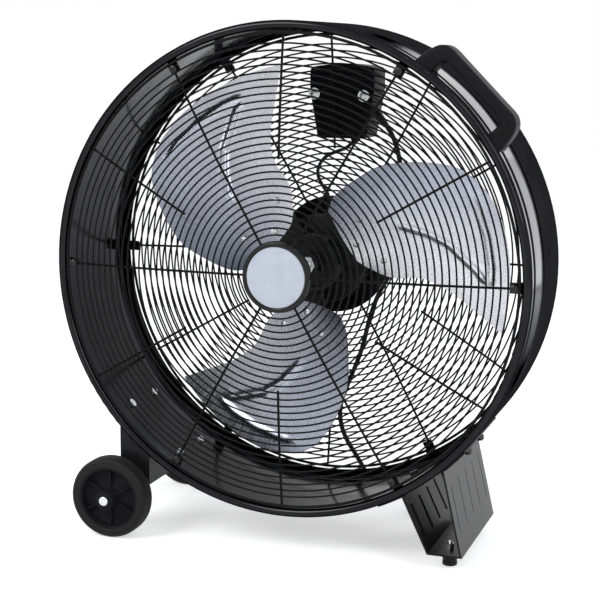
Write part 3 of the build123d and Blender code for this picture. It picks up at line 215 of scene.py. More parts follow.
# Slope of the drum's outer wall by depth: it rises behind the front groove and falls before the
# rear one. The bands there are glossy between two angles about the drum's axis, in degrees.
WALL_SLOPES = (
    (9.0, 0.0), (10.0, 0.21), (17.5, 0.21), (18.5, 0.0), (31.0, 0.0), (32.5, 0.22), (50.0, 0.21),
    (70.0, 0.20), (84.0, 0.08), (96.0, 0.0), (186.0, 0.0), (188.0, 0.08), (192.0, 0.0),
)
WALL_EASE = 0.6
BAND_START, BAND_RISE = -28, 24
BAND_END, BAND_FALL = 73, 17
BAND_GLOSS, INSIDE_GLOSS, METAL_GAIN = 4.8, 0.8, 6.0
RIM_CURL = 0.456


def drum_enamel(name):
    """The drum's enamel: glossy inside and where its wall bulges softly, and dull elsewhere."""
    material = finish(
        name,
        (0.016, 0.016, 0.018),
        (0.022, 0.022, 0.025),
        (0.10, 0.16),
        specular=0.0,
        grain_scale=420.0,
        grain_depth=0.00001,
        dust=0.02,
    )
    tree = material.node_tree
    shader = tree.nodes["Principled BSDF"]
    place = add(tree, "SeparateXYZ", Vector=add(tree, "TexCoord").outputs["Object"]).outputs
    over_axis = maths(tree, "SUBTRACT", place["Z"], AXIS_Z * MM)
    across, above = maths(tree, "POWER", place["X"], 2.0), maths(tree, "POWER", over_axis, 2.0)
    radius = maths(tree, "SQRT", maths(tree, "ADD", across, above))
    angle = maths(tree, "ARCTAN2", over_axis, place["X"])
    depth = maths(tree, "DIVIDE", maths(tree, "SUBTRACT", place["Y"], RIM_Y * MM), DRUM_DEPTH * MM)

    slope = add(tree, "FloatCurve", Value=depth)
    curve = slope.mapping.curves[0]
    curve.points[0].location = (0.0, 0.5)
    curve.points[1].location = (1.0, 0.5)
    for along, height in WALL_SLOPES:
        curve.points.new(along / DRUM_DEPTH, 0.5 + 0.5 * height)
    for point in curve.points:
        point.handle_type = "VECTOR"
    slope.mapping.update()
    lean = maths(tree, "MULTIPLY", maths(tree, "SUBTRACT", slope.outputs[0], 0.5), -2.0)

    inside = maths(tree, "LESS_THAN", radius, (DRUM_RADIUS - WALL_EASE) * MM)
    past_inside = maths(tree, "GREATER_THAN", radius, (DRUM_RADIUS - WALL_EASE) * MM)
    before_curl = maths(tree, "LESS_THAN", radius, (DRUM_RADIUS + WALL_EASE) * MM)
    outside = maths(tree, "MULTIPLY", past_inside, before_curl)
    middle_gap = maths(tree, "ABSOLUTE", maths(tree, "SUBTRACT", depth, 0.5))
    curled = maths(tree, "GREATER_THAN", middle_gap, RIM_CURL)

    rise = maths(tree, "SUBTRACT", angle, math.radians(BAND_START))
    rise = maths(tree, "DIVIDE", rise, math.radians(BAND_RISE))
    fall = maths(tree, "SUBTRACT", math.radians(BAND_END), angle)
    fall = maths(tree, "DIVIDE", fall, math.radians(BAND_FALL))
    reach = maths(tree, "MINIMUM", maths(tree, "MINIMUM", rise, fall), 1.0)
    reach = maths(tree, "MAXIMUM", reach, 0.0)
    bands = maths(tree, "MULTIPLY", maths(tree, "ABSOLUTE", lean), BAND_GLOSS)
    bands = maths(tree, "MULTIPLY", maths(tree, "MINIMUM", bands, 1.0), reach)
    gloss = maths(tree, "MAXIMUM", bands, maths(tree, "MULTIPLY", inside, INSIDE_GLOSS))
    gloss = maths(tree, "MAXIMUM", maths(tree, "SUBTRACT", gloss, curled), 0.0)
    feed(tree, shader.inputs["Specular Tint"], gloss)
    metal = maths(tree, "MINIMUM", maths(tree, "MULTIPLY", gloss, METAL_GAIN), 1.0)
    dull = maths(tree, "MULTIPLY", outside, maths(tree, "SUBTRACT", 1.0, metal))
    feed(tree, shader.inputs["Metallic"], maths(tree, "SUBTRACT", 1.0, dull))

    forward = add(tree, "CombineXYZ", Y=maths(tree, "MULTIPLY", lean, outside)).outputs[0]
    leaned, unit = add(tree, "VectorMath"), add(tree, "VectorMath")
    leaned.operation, unit.operation = "ADD", "NORMALIZE"
    feed(tree, leaned.inputs[0], add(tree, "NewGeometry").outputs["Normal"])
    feed(tree, leaned.inputs[1], forward)
    feed(tree, unit.inputs[0], leaned.outputs[0])
    feed(tree, tree.nodes["Bump"].inputs["Normal"], unit.outputs[0])
    return material


# Two colours, the range of the roughness, and what else differs from the plain finish.
FINISHES = {
    "black_paint": (
        grey(0.006), (0.010, 0.010, 0.012), (0.22, 0.32),
        {"specular": 0.12, "grain_scale": 420.0, "dust": 0.02},
    ),
    "wire_coating": (grey(0.007), grey(0.011), (0.24, 0.34), {"specular": 0.05, "grain_scale": 600.0}),
    "motor_paint": (
        grey(0.010), grey(0.015), (0.38, 0.52),
        {"specular": 0.16, "grain_scale": 700.0, "grain_depth": 0.0001, "dust": 0.02},
    ),
    "hub_paint": (
        grey(0.008), (0.012, 0.012, 0.014), (0.30, 0.42), {"specular": 0.14, "grain_scale": 600.0}
    ),
    "rivet_metal": ((0.62, 0.63, 0.66), (0.72, 0.73, 0.75), (0.22, 0.34), {"metallic": 1.0}),
    "zinc_steel": (
        (0.64, 0.65, 0.67), (0.76, 0.76, 0.77), (0.26, 0.42), {"metallic": 1.0, "patch_scale": 160.0}
    ),
    "dull_zinc": (grey(0.05), grey(0.08), (0.45, 0.60), {"metallic": 1.0, "patch_scale": 160.0}),
    "black_screws": (grey(0.012), grey(0.018), (0.30, 0.42), {"specular": 0.3, "patch_scale": 120.0}),
    "core_steel": (
        grey(0.20), grey(0.28), (0.35, 0.50),
        {"metallic": 1.0, "stretch": (0.02, 2.0, 0.02), "grain_depth": 0.0002},
    ),
    "copper_wire": (
        (0.42, 0.16, 0.06), (0.56, 0.24, 0.10), (0.25, 0.40), {"metallic": 0.8, "grain_depth": 0.0003}
    ),
    "badge_black": (grey(0.008), grey(0.012), (0.16, 0.24), {"specular": 0.2, "grain_depth": 0.00001}),
    "badge_pale": (
        (0.47, 0.51, 0.585), (0.52, 0.56, 0.635), (0.30, 0.40), {"patch_scale": 60.0, "grain_depth": 0.00001}
    ),
    "black_plastic": (
        grey(0.011), (0.015, 0.015, 0.019), (0.34, 0.46),
        {"specular": 0.03, "grain_scale": 1100.0, "grain_depth": 0.00006, "dust": 0.02},
    ),
    "capacitor_white": ((0.70, 0.70, 0.67), (0.76, 0.76, 0.73), (0.35, 0.50), {}),
    "black_rubber": (grey(0.010), grey(0.015), (0.42, 0.56), {"specular": 0.16}),
    "tyre_rubber": (
        grey(0.009), grey(0.014), (0.50, 0.66), {"specular": 0.16, "grain_depth": 0.0001, "dust": 0.03}
    ),
    "plug_brass": ((0.66, 0.62, 0.54), (0.76, 0.72, 0.64), (0.20, 0.32), {"metallic": 1.0}),
}
finishes = {name: finish(name, *row, **more) for name, (*row, more) in FINISHES.items()}
finishes["blade_metal"] = brushed_blade("blade_metal")
for subpart in frame["record"]["subparts"]:
    node = frame["nodes"][subpart["node"]]
    node.data.materials.clear()
    node.data.materials.append(finishes[subpart["material_slot"]])
frame["nodes"]["drum_shell"].data.materials[0] = drum_enamel("drum_enamel")
frame["nodes"]["foot_bracket_bolts"].data.materials[0] = finishes["dull_zinc"]


# ---------------------------------------------------------------- mesh building
def axis_frame(axis):
    """An axis with two directions across it."""
    axis = Vector(axis).normalized()
    side = axis.orthogonal().normalized()
    return axis, side, axis.cross(side)


class Form:
    """Points and faces of one piece while it is being built. Its places are in metres."""

    def __init__(self):
        self.points = []
        self.faces = []

    def skin(self, rows, loop=False):
        """Joins closed rows of points into a surface, capped at its ends unless it closes in a loop."""
        base, count = len(self.points), len(rows[0])
        for row in rows:
            self.points += row
        pairs = list(zip(range(len(rows)), range(1, len(rows))))
        if loop:
            pairs.append((len(rows) - 1, 0))
        for a, b in pairs:
            near, far = base + a * count, base + b * count
            for k in range(count):
                n = (k + 1) % count
                self.faces.append((near + k, near + n, far + n, far + k))
        if not loop:
            self.faces.append(tuple(base + k for k in reversed(range(count))))
            self.faces.append(tuple(base + (len(rows) - 1) * count + k for k in range(count)))

    def lathe(self, spot, profile, steps=48, loop=False):
        """Turns a profile of (radius, depth) about an axis along the drum's, at a place (x, z)."""
        rows = []
        for radius, depth in profile:
            ring = [polar(radius, 360 * k / steps) for k in range(steps)]
            rows.append([at(spot[0] + u, depth, spot[1] + w) for u, w in ring])
        self.skin(rows, loop)

    def turned(self, origin, axis, profile, steps=32, loop=False):
        """Turns a profile of (radius, distance along the axis) about any axis; origin in metres."""
        axis, side, up = axis_frame(axis)
        arms = [side * math.cos(TAU * k / steps) + up * math.sin(TAU * k / steps) for k in range(steps)]
        rows = [[origin + (axis * along + arm * radius) * MM for arm in arms] for radius, along in profile]
        self.skin(rows, loop)

    def piece(self, name, body, slot, replaces=(), sharp=34.0):
        """Makes the object, with its finish, body and the CAD nodes that it stands for."""
        mesh = bpy.data.meshes.new(name)
        mesh.from_pydata(self.points, [], self.faces)
        tidy = bmesh.new()
        tidy.from_mesh(mesh)
        bmesh.ops.remove_doubles(tidy, verts=tidy.verts, dist=1e-6)
        bmesh.ops.recalc_face_normals(tidy, faces=tidy.faces)
        tidy.to_mesh(mesh)
        tidy.free()
        mesh.shade_smooth()
        mesh.set_sharp_from_angle(angle=math.radians(sharp))
        mesh.materials.append(finishes[slot])
        made = bpy.data.objects.new(name, mesh)
        scene.collection.objects.link(made)
        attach(made, body)
        if replaces:
            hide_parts(*replaces)
        return made


# ---------------------------------------------------------------- blades
SURFACE_DEPTH = 134.8
ARC_SLOPE = -0.3407
RADIUS_SLOPE = -0.0445
TWIST = 9.44e-4
SURFACE_RADIUS = 180.0
SLOPE_STEP = 0.05
BLADE_SHEET = 1.6
TIP_RADIUS = 278.0
TIP_LEAD, TIP_TRAIL = -18.3, 15.0
TRAILING = [(84, 67), (110, 65), (150, 57), (183, 51), (222, 41.5), (256, 33), (272, 24), (278, 15)]
LEADING = [(62, 4), (78, -4), (112, -9), (155, -6), (194, -9.3), (235, -14.4), (278, -18.3)]
ROOT_MIDDLE = (56.5, 27.0)
FADE_IN, FADE_OUT = 8, 5
CREASES = (
    ([(252, -6), (253, 2), (253, 11), (252, 20), (251, 29)], 2.8, 4.6),
    ([(250, -5), (234, 0), (221, 3.3), (200, 10.5), (177, 16.5), (152, 22.5), (131, 28)], 3.8, 4.8),
)


def surface_depth(x, z):
    """Depth of a blade's front face over a flat point, for a blade whose axis is along X."""
    radius = math.hypot(x, z)
    along = radius * math.atan2(z, x)
    out = radius - SURFACE_RADIUS
    return SURFACE_DEPTH + ARC_SLOPE * along + RADIUS_SLOPE * out + TWIST * along * out


def surface_slopes(x, z):
    """Slopes of that face rightward and upward."""
    across = surface_depth(x + SLOPE_STEP, z) - surface_depth(x - SLOPE_STEP, z)
    upward = surface_depth(x, z + SLOPE_STEP) - surface_depth(x, z - SLOPE_STEP)
    return across / (2 * SLOPE_STEP), upward / (2 * SLOPE_STEP)


def between(points, k, t):
    """Point at a share t of the way from point k to the next, on a smooth line through them all."""
    p1, p2 = points[k], points[k + 1]
    p0 = points[k - 1] if k else p1 * 2 - p2
    p3 = points[k + 2] if k + 2 < len(points) else p2 * 2 - p1
    square, cube = 2 * p0 - 5 * p1 + 4 * p2 - p3, 3 * p1 - p0 - 3 * p2 + p3
    return 0.5 * (2 * p1 + (p2 - p0) * t + square * t * t + cube * t * t * t)


def through(points, share):
    """Point at a share of a smooth line through flat points, by their spacing."""
    lengths = [0.0]
    for a, b in zip(points, points[1:]):
        lengths.append(lengths[-1] + (b - a).length)
    goal = share * lengths[-1]
    k = max(i for i in range(len(points) - 1) if lengths[i] <= goal + 1e-9)
    return between(points, k, (goal - lengths[k]) / (lengths[k + 1] - lengths[k]))


def arc_through(a, b, c, share):
    """Point at a share of the arc that starts at a, passes b and ends at c."""
    d = 2 * (a.x * (b.y - c.y) + b.x * (c.y - a.y) + c.x * (a.y - b.y))
    sq = [p.length_squared for p in (a, b, c)]
    middle = Vector((
        (sq[0] * (b.y - c.y) + sq[1] * (c.y - a.y) + sq[2] * (a.y - b.y)) / d,
        (sq[0] * (c.x - b.x) + sq[1] * (a.x - c.x) + sq[2] * (b.x - a.x)) / d,
    ))
    start = math.atan2(a.y - middle.y, a.x - middle.x)
    pass_by = (math.atan2(b.y - middle.y, b.x - middle.x) - start) % TAU
    end = (math.atan2(c.y - middle.y, c.x - middle.x) - start) % TAU
    if pass_by > end:
        end -= TAU
    angle = start + end * share
    return middle + Vector((math.cos(angle), math.sin(angle))) * (a - middle).length


def off_line(point, line):
    """Distance from a flat point to a line of points, and the share of the line where it is nearest."""
    best = (1e9, 0.0)
    for k, (a, b) in enumerate(zip(line, line[1:])):
        run = b - a
        t = min(1.0, max(0.0, (point - a).dot(run) / run.length_squared))
        gap = (point - a - run * t).length
        if gap < best[0]:
            best = (gap, (k + t) / (len(line) - 1))
    return best


def flat(pairs):
    """Flat points from radii and angles."""
    return [Vector(polar(radius, phi)) for radius, phi in pairs]


lead_line, trail_line = flat(LEADING), flat(TRAILING)
root_middle = Vector(polar(*ROOT_MIDDLE))
crease_lines = [(flat(line), height, width) for line, height, width in CREASES]


def blade_flat(u, v):
    """Flat point of the blade at shares u across, from leading to trailing edge, and v outward."""
    lead, trail = through(lead_line, v), through(trail_line, v)
    root = arc_through(lead_line[0], root_middle, trail_line[0], u)
    tip = Vector(polar(TIP_RADIUS, TIP_LEAD + (TIP_TRAIL - TIP_LEAD) * u))
    corners = (
        lead_line[0] * (1 - u) * (1 - v)
        + trail_line[0] * u * (1 - v)
        + lead_line[-1] * (1 - u) * v
        + trail_line[-1] * u * v
    )
    return root * (1 - v) + tip * v + lead * (1 - u) + trail * u - corners


def pressed(point):
    """How far the stamped creases raise the sheet at a flat point."""
    rise = 0.0
    for line, height, width in crease_lines:
        gap, share = off_line(point, line)
        fade = smooth(share * FADE_IN) * smooth((1 - share) * FADE_OUT)
        rise = max(rise, height * math.exp(-((gap / width) ** 2)) * fade)
    return rise


# Painted reflection and shade on each blade's sheet, as a share from shade to reflection: at its axis, and
# how it falls per degree past it and per mm outward.
BLADE_PAINTED_LIGHT = ((0.75, 0.0116, 0.0), (1.16, 0.0160, 0.0018), (0.68, 0.0064, 0.0003))
PAINTED_LIGHT_RADIUS = 130
BRUSH_OUTWARD, BRUSH_AROUND, BRUSH_SHIFT = 0.02, 70.0, 7.0
ACROSS, OUTWARD = 100, 110
blade_grid = []
for j in range(OUTWARD + 1):
    row = []
    for i in range(ACROSS + 1):
        spot = blade_flat(i / ACROSS, j / OUTWARD)
        slope_x, slope_z = surface_slopes(spot.x, spot.y)
        normal = Vector((-slope_x, 1.0, -slope_z)).normalized()
        front = Vector((spot.x, surface_depth(spot.x, spot.y), spot.y))
        row.append((front - normal * pressed(spot), normal))
    blade_grid.append(row)


def make_blade(number, axis_angle):
    """One pressed sheet blade, with its creases, turned to its place round the hub."""
    turn = math.radians(axis_angle)
    c, s = math.cos(turn), math.sin(turn)

    def place(p):
        return at(p.x * c - p.z * s, p.y, p.x * s + p.z * c)

    form = Form()
    width = ACROSS + 1
    for side in (0.0, BLADE_SHEET):
        for row in blade_grid:
            form.points += [place(p + n * side) for p, n in row]
    per_side = width * (OUTWARD + 1)
    for j in range(OUTWARD):
        for i in range(ACROSS):
            k = j * width + i
            quad = (k, k + 1, k + width + 1, k + width)
            form.faces.append(quad)
            form.faces.append(tuple(per_side + n for n in reversed(quad)))
    rim = list(range(width))
    rim += [j * width + ACROSS for j in range(1, OUTWARD + 1)]
    rim += [OUTWARD * width + i for i in range(ACROSS - 1, -1, -1)]
    rim += [j * width for j in range(OUTWARD - 1, 0, -1)]
    for a, b in zip(rim, rim[1:] + rim[:1]):
        form.faces.append((a, b, per_side + b, per_side + a))
    blade = form.piece(f"blade_{number}_pressed", "fan", "blade_metal", [f"blade_{number}"], sharp=75.0)
    # Painted reflection and shade: each vertex gets a share from 0 to 1 that falls past the blade's axis and
    # outward.
    start, fall, fade = BLADE_PAINTED_LIGHT[number - 1]
    brushes, painted_light_shares = [], []
    for vertex in blade.data.vertices:
        x, z = vertex.co.x / MM, vertex.co.z / MM - AXIS_Z
        radius = math.hypot(x, z)
        angle = (math.atan2(z, x) - turn + math.pi) % TAU - math.pi
        brushes += [radius * BRUSH_OUTWARD + number * BRUSH_SHIFT, angle * BRUSH_AROUND, 0.0]
        past = math.degrees(angle)
        painted_light_shares.append(min(1.0, max(0.0, start - fall * past - fade * (radius - PAINTED_LIGHT_RADIUS))))
    blade.data.attributes.new("brush", "FLOAT_VECTOR", "POINT").data.foreach_set("vector", brushes)
    blade.data.attributes.new("painted_light", "FLOAT", "POINT").data.foreach_set("value", painted_light_shares)


BLADE_ANGLES = (120.0, 0.0, 240.0)
for number, axis_angle in enumerate(BLADE_ANGLES, 1):
    make_blade(number, axis_angle)


# ---------------------------------------------------------------- fasteners
HEAD_STEPS = 24
HEAD_RINGS = (0.74, 0.88, 1.0)
DOME_FALL = 0.62
CROSS_LONG, CROSS_WIDE, CROSS_TAPER = 0.62, 0.16, 0.92
NUT_ROUND, NUT_FALL = 0.96, 0.55


def pan_head(form, origin, axis, radius, height, sink):
    """A domed screw head with a cross recess. Its flat underside is at the origin, in metres."""
    axis, side, up = axis_frame(axis)
    arm, half = CROSS_LONG * radius, CROSS_WIDE * radius
    cross = [(arm, -half), (arm, half), (half, half), (half, arm), (-half, arm), (-half, half)]
    cross += [(-u, -v) for u, v in cross]
    spots = [Vector(spot) for spot in cross]
    for share in HEAD_RINGS:
        spots += [Vector(polar(share * radius, 360 * k / HEAD_STEPS)) for k in range(HEAD_STEPS)]
    edges = [(k, (k + 1) % len(cross)) for k in range(len(cross))]
    flat_points, _, triangles = delaunay_2d_cdt(spots, edges, [], 0, 1e-6)[:3]

    def place(spot, height_here):
        return origin + (side * spot.x + up * spot.y + axis * height_here) * MM

    def dome(spot):
        return height * (1 - DOME_FALL * spot.length_squared / radius**2)

    def in_cross(spot):
        u, v = abs(spot.x), abs(spot.y)
        return (u < half and v < arm) or (v < half and u < arm)

    base, count = len(form.points), len(flat_points)
    form.points += [place(spot, dome(spot)) for spot in flat_points]
    form.points += [place(spot * CROSS_TAPER, dome(spot) - sink) for spot in flat_points[: len(cross)]]
    sunk = base + count
    for triangle in triangles:
        middle = sum((flat_points[k] for k in triangle), Vector((0, 0))) / 3
        offset = sunk if in_cross(middle) else base
        form.faces.append(tuple(offset + k for k in triangle))
    for a, b in edges:
        form.faces.append((base + a, base + b, sunk + b, sunk + a))
    rim = base + count - HEAD_STEPS
    foot = len(form.points)
    form.points += [place(spot, 0.0) for spot in flat_points[-HEAD_STEPS:]]
    for k in range(HEAD_STEPS):
        n = (k + 1) % HEAD_STEPS
        form.faces.append((rim + k, rim + n, foot + n, foot + k))
    form.faces.append(tuple(foot + k for k in range(HEAD_STEPS)))


def hex_head(form, origin, axis, radius, height):
    """A hexagonal nut with turned-down corners, on the origin, in metres."""
    axis, side, up = axis_frame(axis)
    corners = [Vector(polar(radius, 60 * k)) for k in range(6)]
    edge = [a.lerp(b, t / 4) for a, b in zip(corners, corners[1:] + corners[:1]) for t in range(4)]
    round_radius = radius * math.cos(math.radians(30)) * NUT_ROUND

    def row(spots, heights):
        return [origin + (side * p.x + up * p.y + axis * h) * MM for p, h in zip(spots, heights)]

    rounds = [p.normalized() * round_radius for p in edge]
    turned_down = [height - NUT_FALL * (p.length - round_radius) for p in edge]
    form.skin([row(edge, [0.0] * 24), row(edge, turned_down), row(rounds, [height] * 24)])


def washer(form, spot, inner, outer, front, back):
    """A flat ring with eased edges, across the drum's axis."""
    ease = 0.35
    profile = [
        (inner, front + ease), (inner + ease, front), (outer - ease, front), (outer, front + ease),
        (outer, back - ease), (outer - ease, back), (inner + ease, back), (inner, back - ease),
    ]
    form.lathe(spot, profile, steps=40, loop=True)


SCREW_CIRCLE = 307.5
GUARD_SCREW_SHANK = 2.5
for name, seat, end, way in (("front", 3.16, 12.68, -1), ("rear", 208.27, 198.32, 1)):
    screws = Form()
    shank = [(GUARD_SCREW_SHANK, -0.2), (GUARD_SCREW_SHANK, abs(end - seat))]
    for k in range(6):
        x, z = polar(SCREW_CIRCLE, 60 * k)
        pan_head(screws, at(x, seat, z), (0, way, 0), 5.0, 2.5, 1.3)
        screws.turned(at(x, seat, z), (0, -way, 0), shank)
    screws.piece(f"{name}_guard_screw_heads", "frame", "black_screws", [f"{name}_guard_screws"])

WASHER_SPOTS = ((-29.25, 230.9), (44.25, 228.5))
WASHER_FRONT, WASHER_BACK = 216.48, 218.28
BOX_BOLT_RADIUS, BOX_BOLT_LENGTH = 2.6, 24.32
washers, box_bolts = Form(), Form()
for x, z in WASHER_SPOTS:
    washer(washers, (x, z), BOX_BOLT_RADIUS, 8.5, WASHER_FRONT, WASHER_BACK)
    pan_head(box_bolts, at(x, WASHER_FRONT, z), (0, -1, 0), 5.2, 2.6, 1.3)
    shank = [(BOX_BOLT_RADIUS, -0.2), (BOX_BOLT_RADIUS, BOX_BOLT_LENGTH)]
    box_bolts.turned(at(x, WASHER_FRONT, z), (0, 1, 0), shank)
washers.piece("guard_washers", "frame", "zinc_steel", ["box_washers"])
box_bolts.piece("box_screw_heads", "frame", "zinc_steel", ["box_screws"])

# ---------------------------------------------------------------- badge
bezel = Form()
bezel.lathe(
    (0, 0),
    [
        (46.4, -15.2), (46.4, -20.2), (46.1, -21.1), (45.4, -21.8), (44.4, -22.1), (43.0, -22.2),
        (42.0, -22.1), (41.2, -21.7), (40.7, -21.1), (40.5, -20.4), (40.5, -19.2), (34.6, -19.2),
        (34.6, -15.2),
    ],
    steps=96,
    loop=True,
)
bezel.piece("badge_rim", "frame", "badge_black", ["badge_bezel"])
badge_face = Form()
badge_face.lathe(
    (0, 0),
    [
        (40.3, -19.3), (40.3, -20.2), (40.0, -20.6), (39.2, -20.8), (30.0, -20.95), (20.0, -21.05),
        (8.0, -21.1), (1.0, -21.1),
    ],
    steps=96,
)
badge_face.piece("badge_face", "frame", "badge_pale", ["badge_disc"])


# ---------------------------------------------------------------- switch box
def rounded(corners, steps=6):
    """A closed outline from corners (x, z, radius), anticlockwise, with its outward normals."""
    line = []
    for k, (x, z, radius) in enumerate(corners):
        here = Vector((x, z))
        before = Vector(corners[k - 1][:2])
        after = Vector(corners[(k + 1) % len(corners)][:2])
        if not radius:
            line.append(here)
            continue
        a, b = (before - here).normalized(), (after - here).normalized()
        half = a.angle(b) / 2
        reach = radius / math.tan(half)
        middle = here + (a + b).normalized() * radius / math.sin(half)
        first, last = here + a * reach - middle, here + b * reach - middle
        sweep_angle = first.angle(last)
        for j in range(steps + 1):
            t = j / steps
            arm = first * math.sin((1 - t) * sweep_angle) + last * math.sin(t * sweep_angle)
            line.append(middle + arm / math.sin(sweep_angle))
    outline = []
    for k, p in enumerate(line):
        along = line[(k + 1) % len(line)] - line[k - 1]
        outline.append((p, Vector((along.y, -along.x)).normalized()))
    return outline


BOX_X, BOX_BOTTOM, BOX_SHOULDER, BOX_TOP, BOX_CROWN = 7.5, 167.0, 236.0, 268.0, 5.0
BOX_LOW_HALF, BOX_HIGH_HALF, BOX_CORNER = 36.5, 48.5, 7.0
BOX_FRONT, BOX_SEAM, BOX_BACK = 230.8, 284.8, 287.3
box_corners = [
    (BOX_X - BOX_LOW_HALF, BOX_BOTTOM, BOX_CORNER),
    (BOX_X + BOX_LOW_HALF, BOX_BOTTOM, BOX_CORNER),
    (BOX_X + BOX_HIGH_HALF, BOX_SHOULDER, BOX_CORNER),
    (BOX_X + BOX_HIGH_HALF, BOX_TOP, BOX_CORNER),
]
for k in range(1, 8):
    across = 1 - 2 * k / 8
    box_corners.append((BOX_X + BOX_HIGH_HALF * across, BOX_TOP + BOX_CROWN * (1 - across**2), 0))
box_corners.append((BOX_X - BOX_HIGH_HALF, BOX_TOP, BOX_CORNER))
box_corners.append((BOX_X - BOX_HIGH_HALF, BOX_SHOULDER, BOX_CORNER))
box_outline = rounded(box_corners)


def prism(form, outline, insets, x=0.0, z=0.0):
    """Skins an outline through pairs of a depth and how far it is moved inward there."""
    form.skin(
        [
            [at(x + p.x - n.x * inset, depth, z + p.y - n.y * inset) for p, n in outline]
            for depth, inset in insets
        ]
    )


box_shell = Form()
prism(
    box_shell,
    box_outline,
    (
        (BOX_FRONT, 3.0), (BOX_FRONT + 0.3, 1.7), (BOX_FRONT + 0.9, 0.8), (BOX_FRONT + 1.9, 0.2),
        (BOX_FRONT + 3.0, 0.0), (BOX_SEAM - 1.0, 0.0), (BOX_SEAM - 0.45, 0.1), (BOX_SEAM - 0.1, 0.45),
    ),
)
for x, z in WASHER_SPOTS:
    box_shell.turned(at(x, 221.8, z), (0, 1, 0), [(6.2, 0.0), (6.5, 0.3), (6.5, 9.6)])
box_shell.piece("box_shell", "frame", "black_plastic", ["switch_box_body"])

box_lid = Form()
prism(
    box_lid,
    box_outline,
    (
        (BOX_SEAM, 0.45), (BOX_SEAM + 0.35, 0.1), (BOX_SEAM + 0.8, 0.0), (BOX_BACK - 1.1, 0.0),
        (BOX_BACK - 0.5, 0.25), (BOX_BACK - 0.1, 0.8), (BOX_BACK, 1.6),
    ),
)
box_lid.piece("box_lid", "frame", "black_plastic", ["switch_box_cover"])

LID_SCREW_SPOTS = ((-20, 176), (35, 176), (-32, 259), (47, 259))
lid_screws = Form()
for x, z in LID_SCREW_SPOTS:
    pan_head(lid_screws, at(x, BOX_BACK, z), (0, 1, 0), 3.2, 1.8, 0.9)
lid_screws.piece("lid_screw_heads", "frame", "zinc_steel", ["cover_screws"])

# ---------------------------------------------------------------- knob and dial
KNOB_X, KNOB_Z = 7.5, 209.5
KNOB_FRONT, KNOB_SKIRT, KNOB_BACK = 287.9, 291.9, 302.9
knob = Form()
knob.lathe(
    (KNOB_X, KNOB_Z),
    [
        (3.0, 267.3), (3.0, KNOB_FRONT), (17.6, KNOB_FRONT), (18.0, KNOB_FRONT + 0.4),
        (18.0, KNOB_SKIRT - 0.8), (17.6, KNOB_SKIRT - 0.2), (16.9, KNOB_SKIRT), (15.6, KNOB_SKIRT + 0.2),
        (15.0, KNOB_SKIRT + 0.9), (14.6, KNOB_SKIRT + 1.8), (13.9, KNOB_SKIRT + 2.3), (1.0, KNOB_SKIRT + 2.5),
    ],
    steps=72,
)
GRIP_LONG, GRIP_HALF = 15.3, 4.6
grip_outline = rounded(
    [
        (-GRIP_HALF, -GRIP_LONG, 3.4), (GRIP_HALF, -GRIP_LONG, 3.4), (GRIP_HALF, 6.0, 3.0),
        (1.5, GRIP_LONG, 1.2), (-1.5, GRIP_LONG, 1.2), (-GRIP_HALF, 6.0, 3.0),
    ]
)
prism(
    knob,
    grip_outline,
    (
        (KNOB_SKIRT + 1.0, -0.5), (KNOB_SKIRT + 2.6, 0.0), (KNOB_BACK - 1.6, 0.4), (KNOB_BACK - 0.7, 0.7),
        (KNOB_BACK - 0.2, 1.1), (KNOB_BACK, 1.19),
    ),
    KNOB_X,
    KNOB_Z,
)
knob.piece("knob_moulding", "knob", "black_plastic", ["speed_knob"])
mark = Form()
mark_outline = rounded([(-0.6, 5.0, 0.5), (0.6, 5.0, 0.5), (0.6, 13.2, 0.5), (-0.6, 13.2, 0.5)])
prism(mark, mark_outline, ((KNOB_BACK - 0.2, 0.0), (KNOB_BACK, 0.0)), KNOB_X, KNOB_Z)
mark.piece("knob_mark", "knob", "badge_pale")

DIAL_RADIUS = 24.0
DIAL_MARKS = (("0", 90.0), ("1", 45.0), ("2", 0.0), ("3", -45.0))
NUMERAL_SIZE, NUMERAL_RELIEF = 6.8, 0.08
for label, turn in DIAL_MARKS:
    u, w = polar(DIAL_RADIUS, turn)
    letters = bpy.data.curves.new(f"dial_{label}", "FONT")
    letters.body = label
    letters.size = NUMERAL_SIZE * MM
    letters.extrude = NUMERAL_RELIEF * MM
    letters.align_x = "CENTER"
    letters.align_y = "CENTER"
    letters.materials.append(finishes["badge_pale"])
    number_piece = bpy.data.objects.new(f"dial_{label}", letters)
    scene.collection.objects.link(number_piece)
    number_piece.location = at(KNOB_X - u, BOX_BACK + 0.02, KNOB_Z + w)
    number_piece.rotation_euler = (math.pi / 2, 0, math.pi)
    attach(number_piece, "frame")

# ---------------------------------------------------------------- handle
HANDLE_ANGLE = 44.5
HANDLE_FRONT, HANDLE_BACK = 8.0, 46.0
HANDLE_OUTSIDE = [
    (79, 320.6), (78.6, 323.5), (77.2, 334), (75, 344), (72.3, 352), (67.6, 358.3), (60.5, 362.6),
    (52, 364), (40, 364), (20, 364), (0, 364),
]
HANDLE_INSIDE = [
    (53, 325.9), (53, 329), (53, 335), (53, 340), (52.2, 343.8), (49.8, 346.6), (46, 347.8),
    (40, 348), (30, 348), (15, 348), (0, 348),
]
outside, inside = (
    [Vector(p) for p in half] + [Vector((-u, w)) for u, w in reversed(half[:-1])]
    for half in (HANDLE_OUTSIDE, HANDLE_INSIDE)
)
handle_c, handle_s = polar(1.0, HANDLE_ANGLE)


def handle_row(outer_point, inner_point):
    """The handle's rounded section between its outer and inner line."""
    thick = (inner_point - outer_point).length
    front, back = HANDLE_FRONT, HANDLE_BACK
    section = rounded([(0, front, 7.0), (thick, front, 5.0), (thick, back, 5.0), (0, back, 7.0)])
    row = []
    for p, _ in section:
        q = outer_point.lerp(inner_point, p.x / thick)
        row.append(at(q.y * handle_c - q.x * handle_s, p.y, q.y * handle_s + q.x * handle_c))
    return row


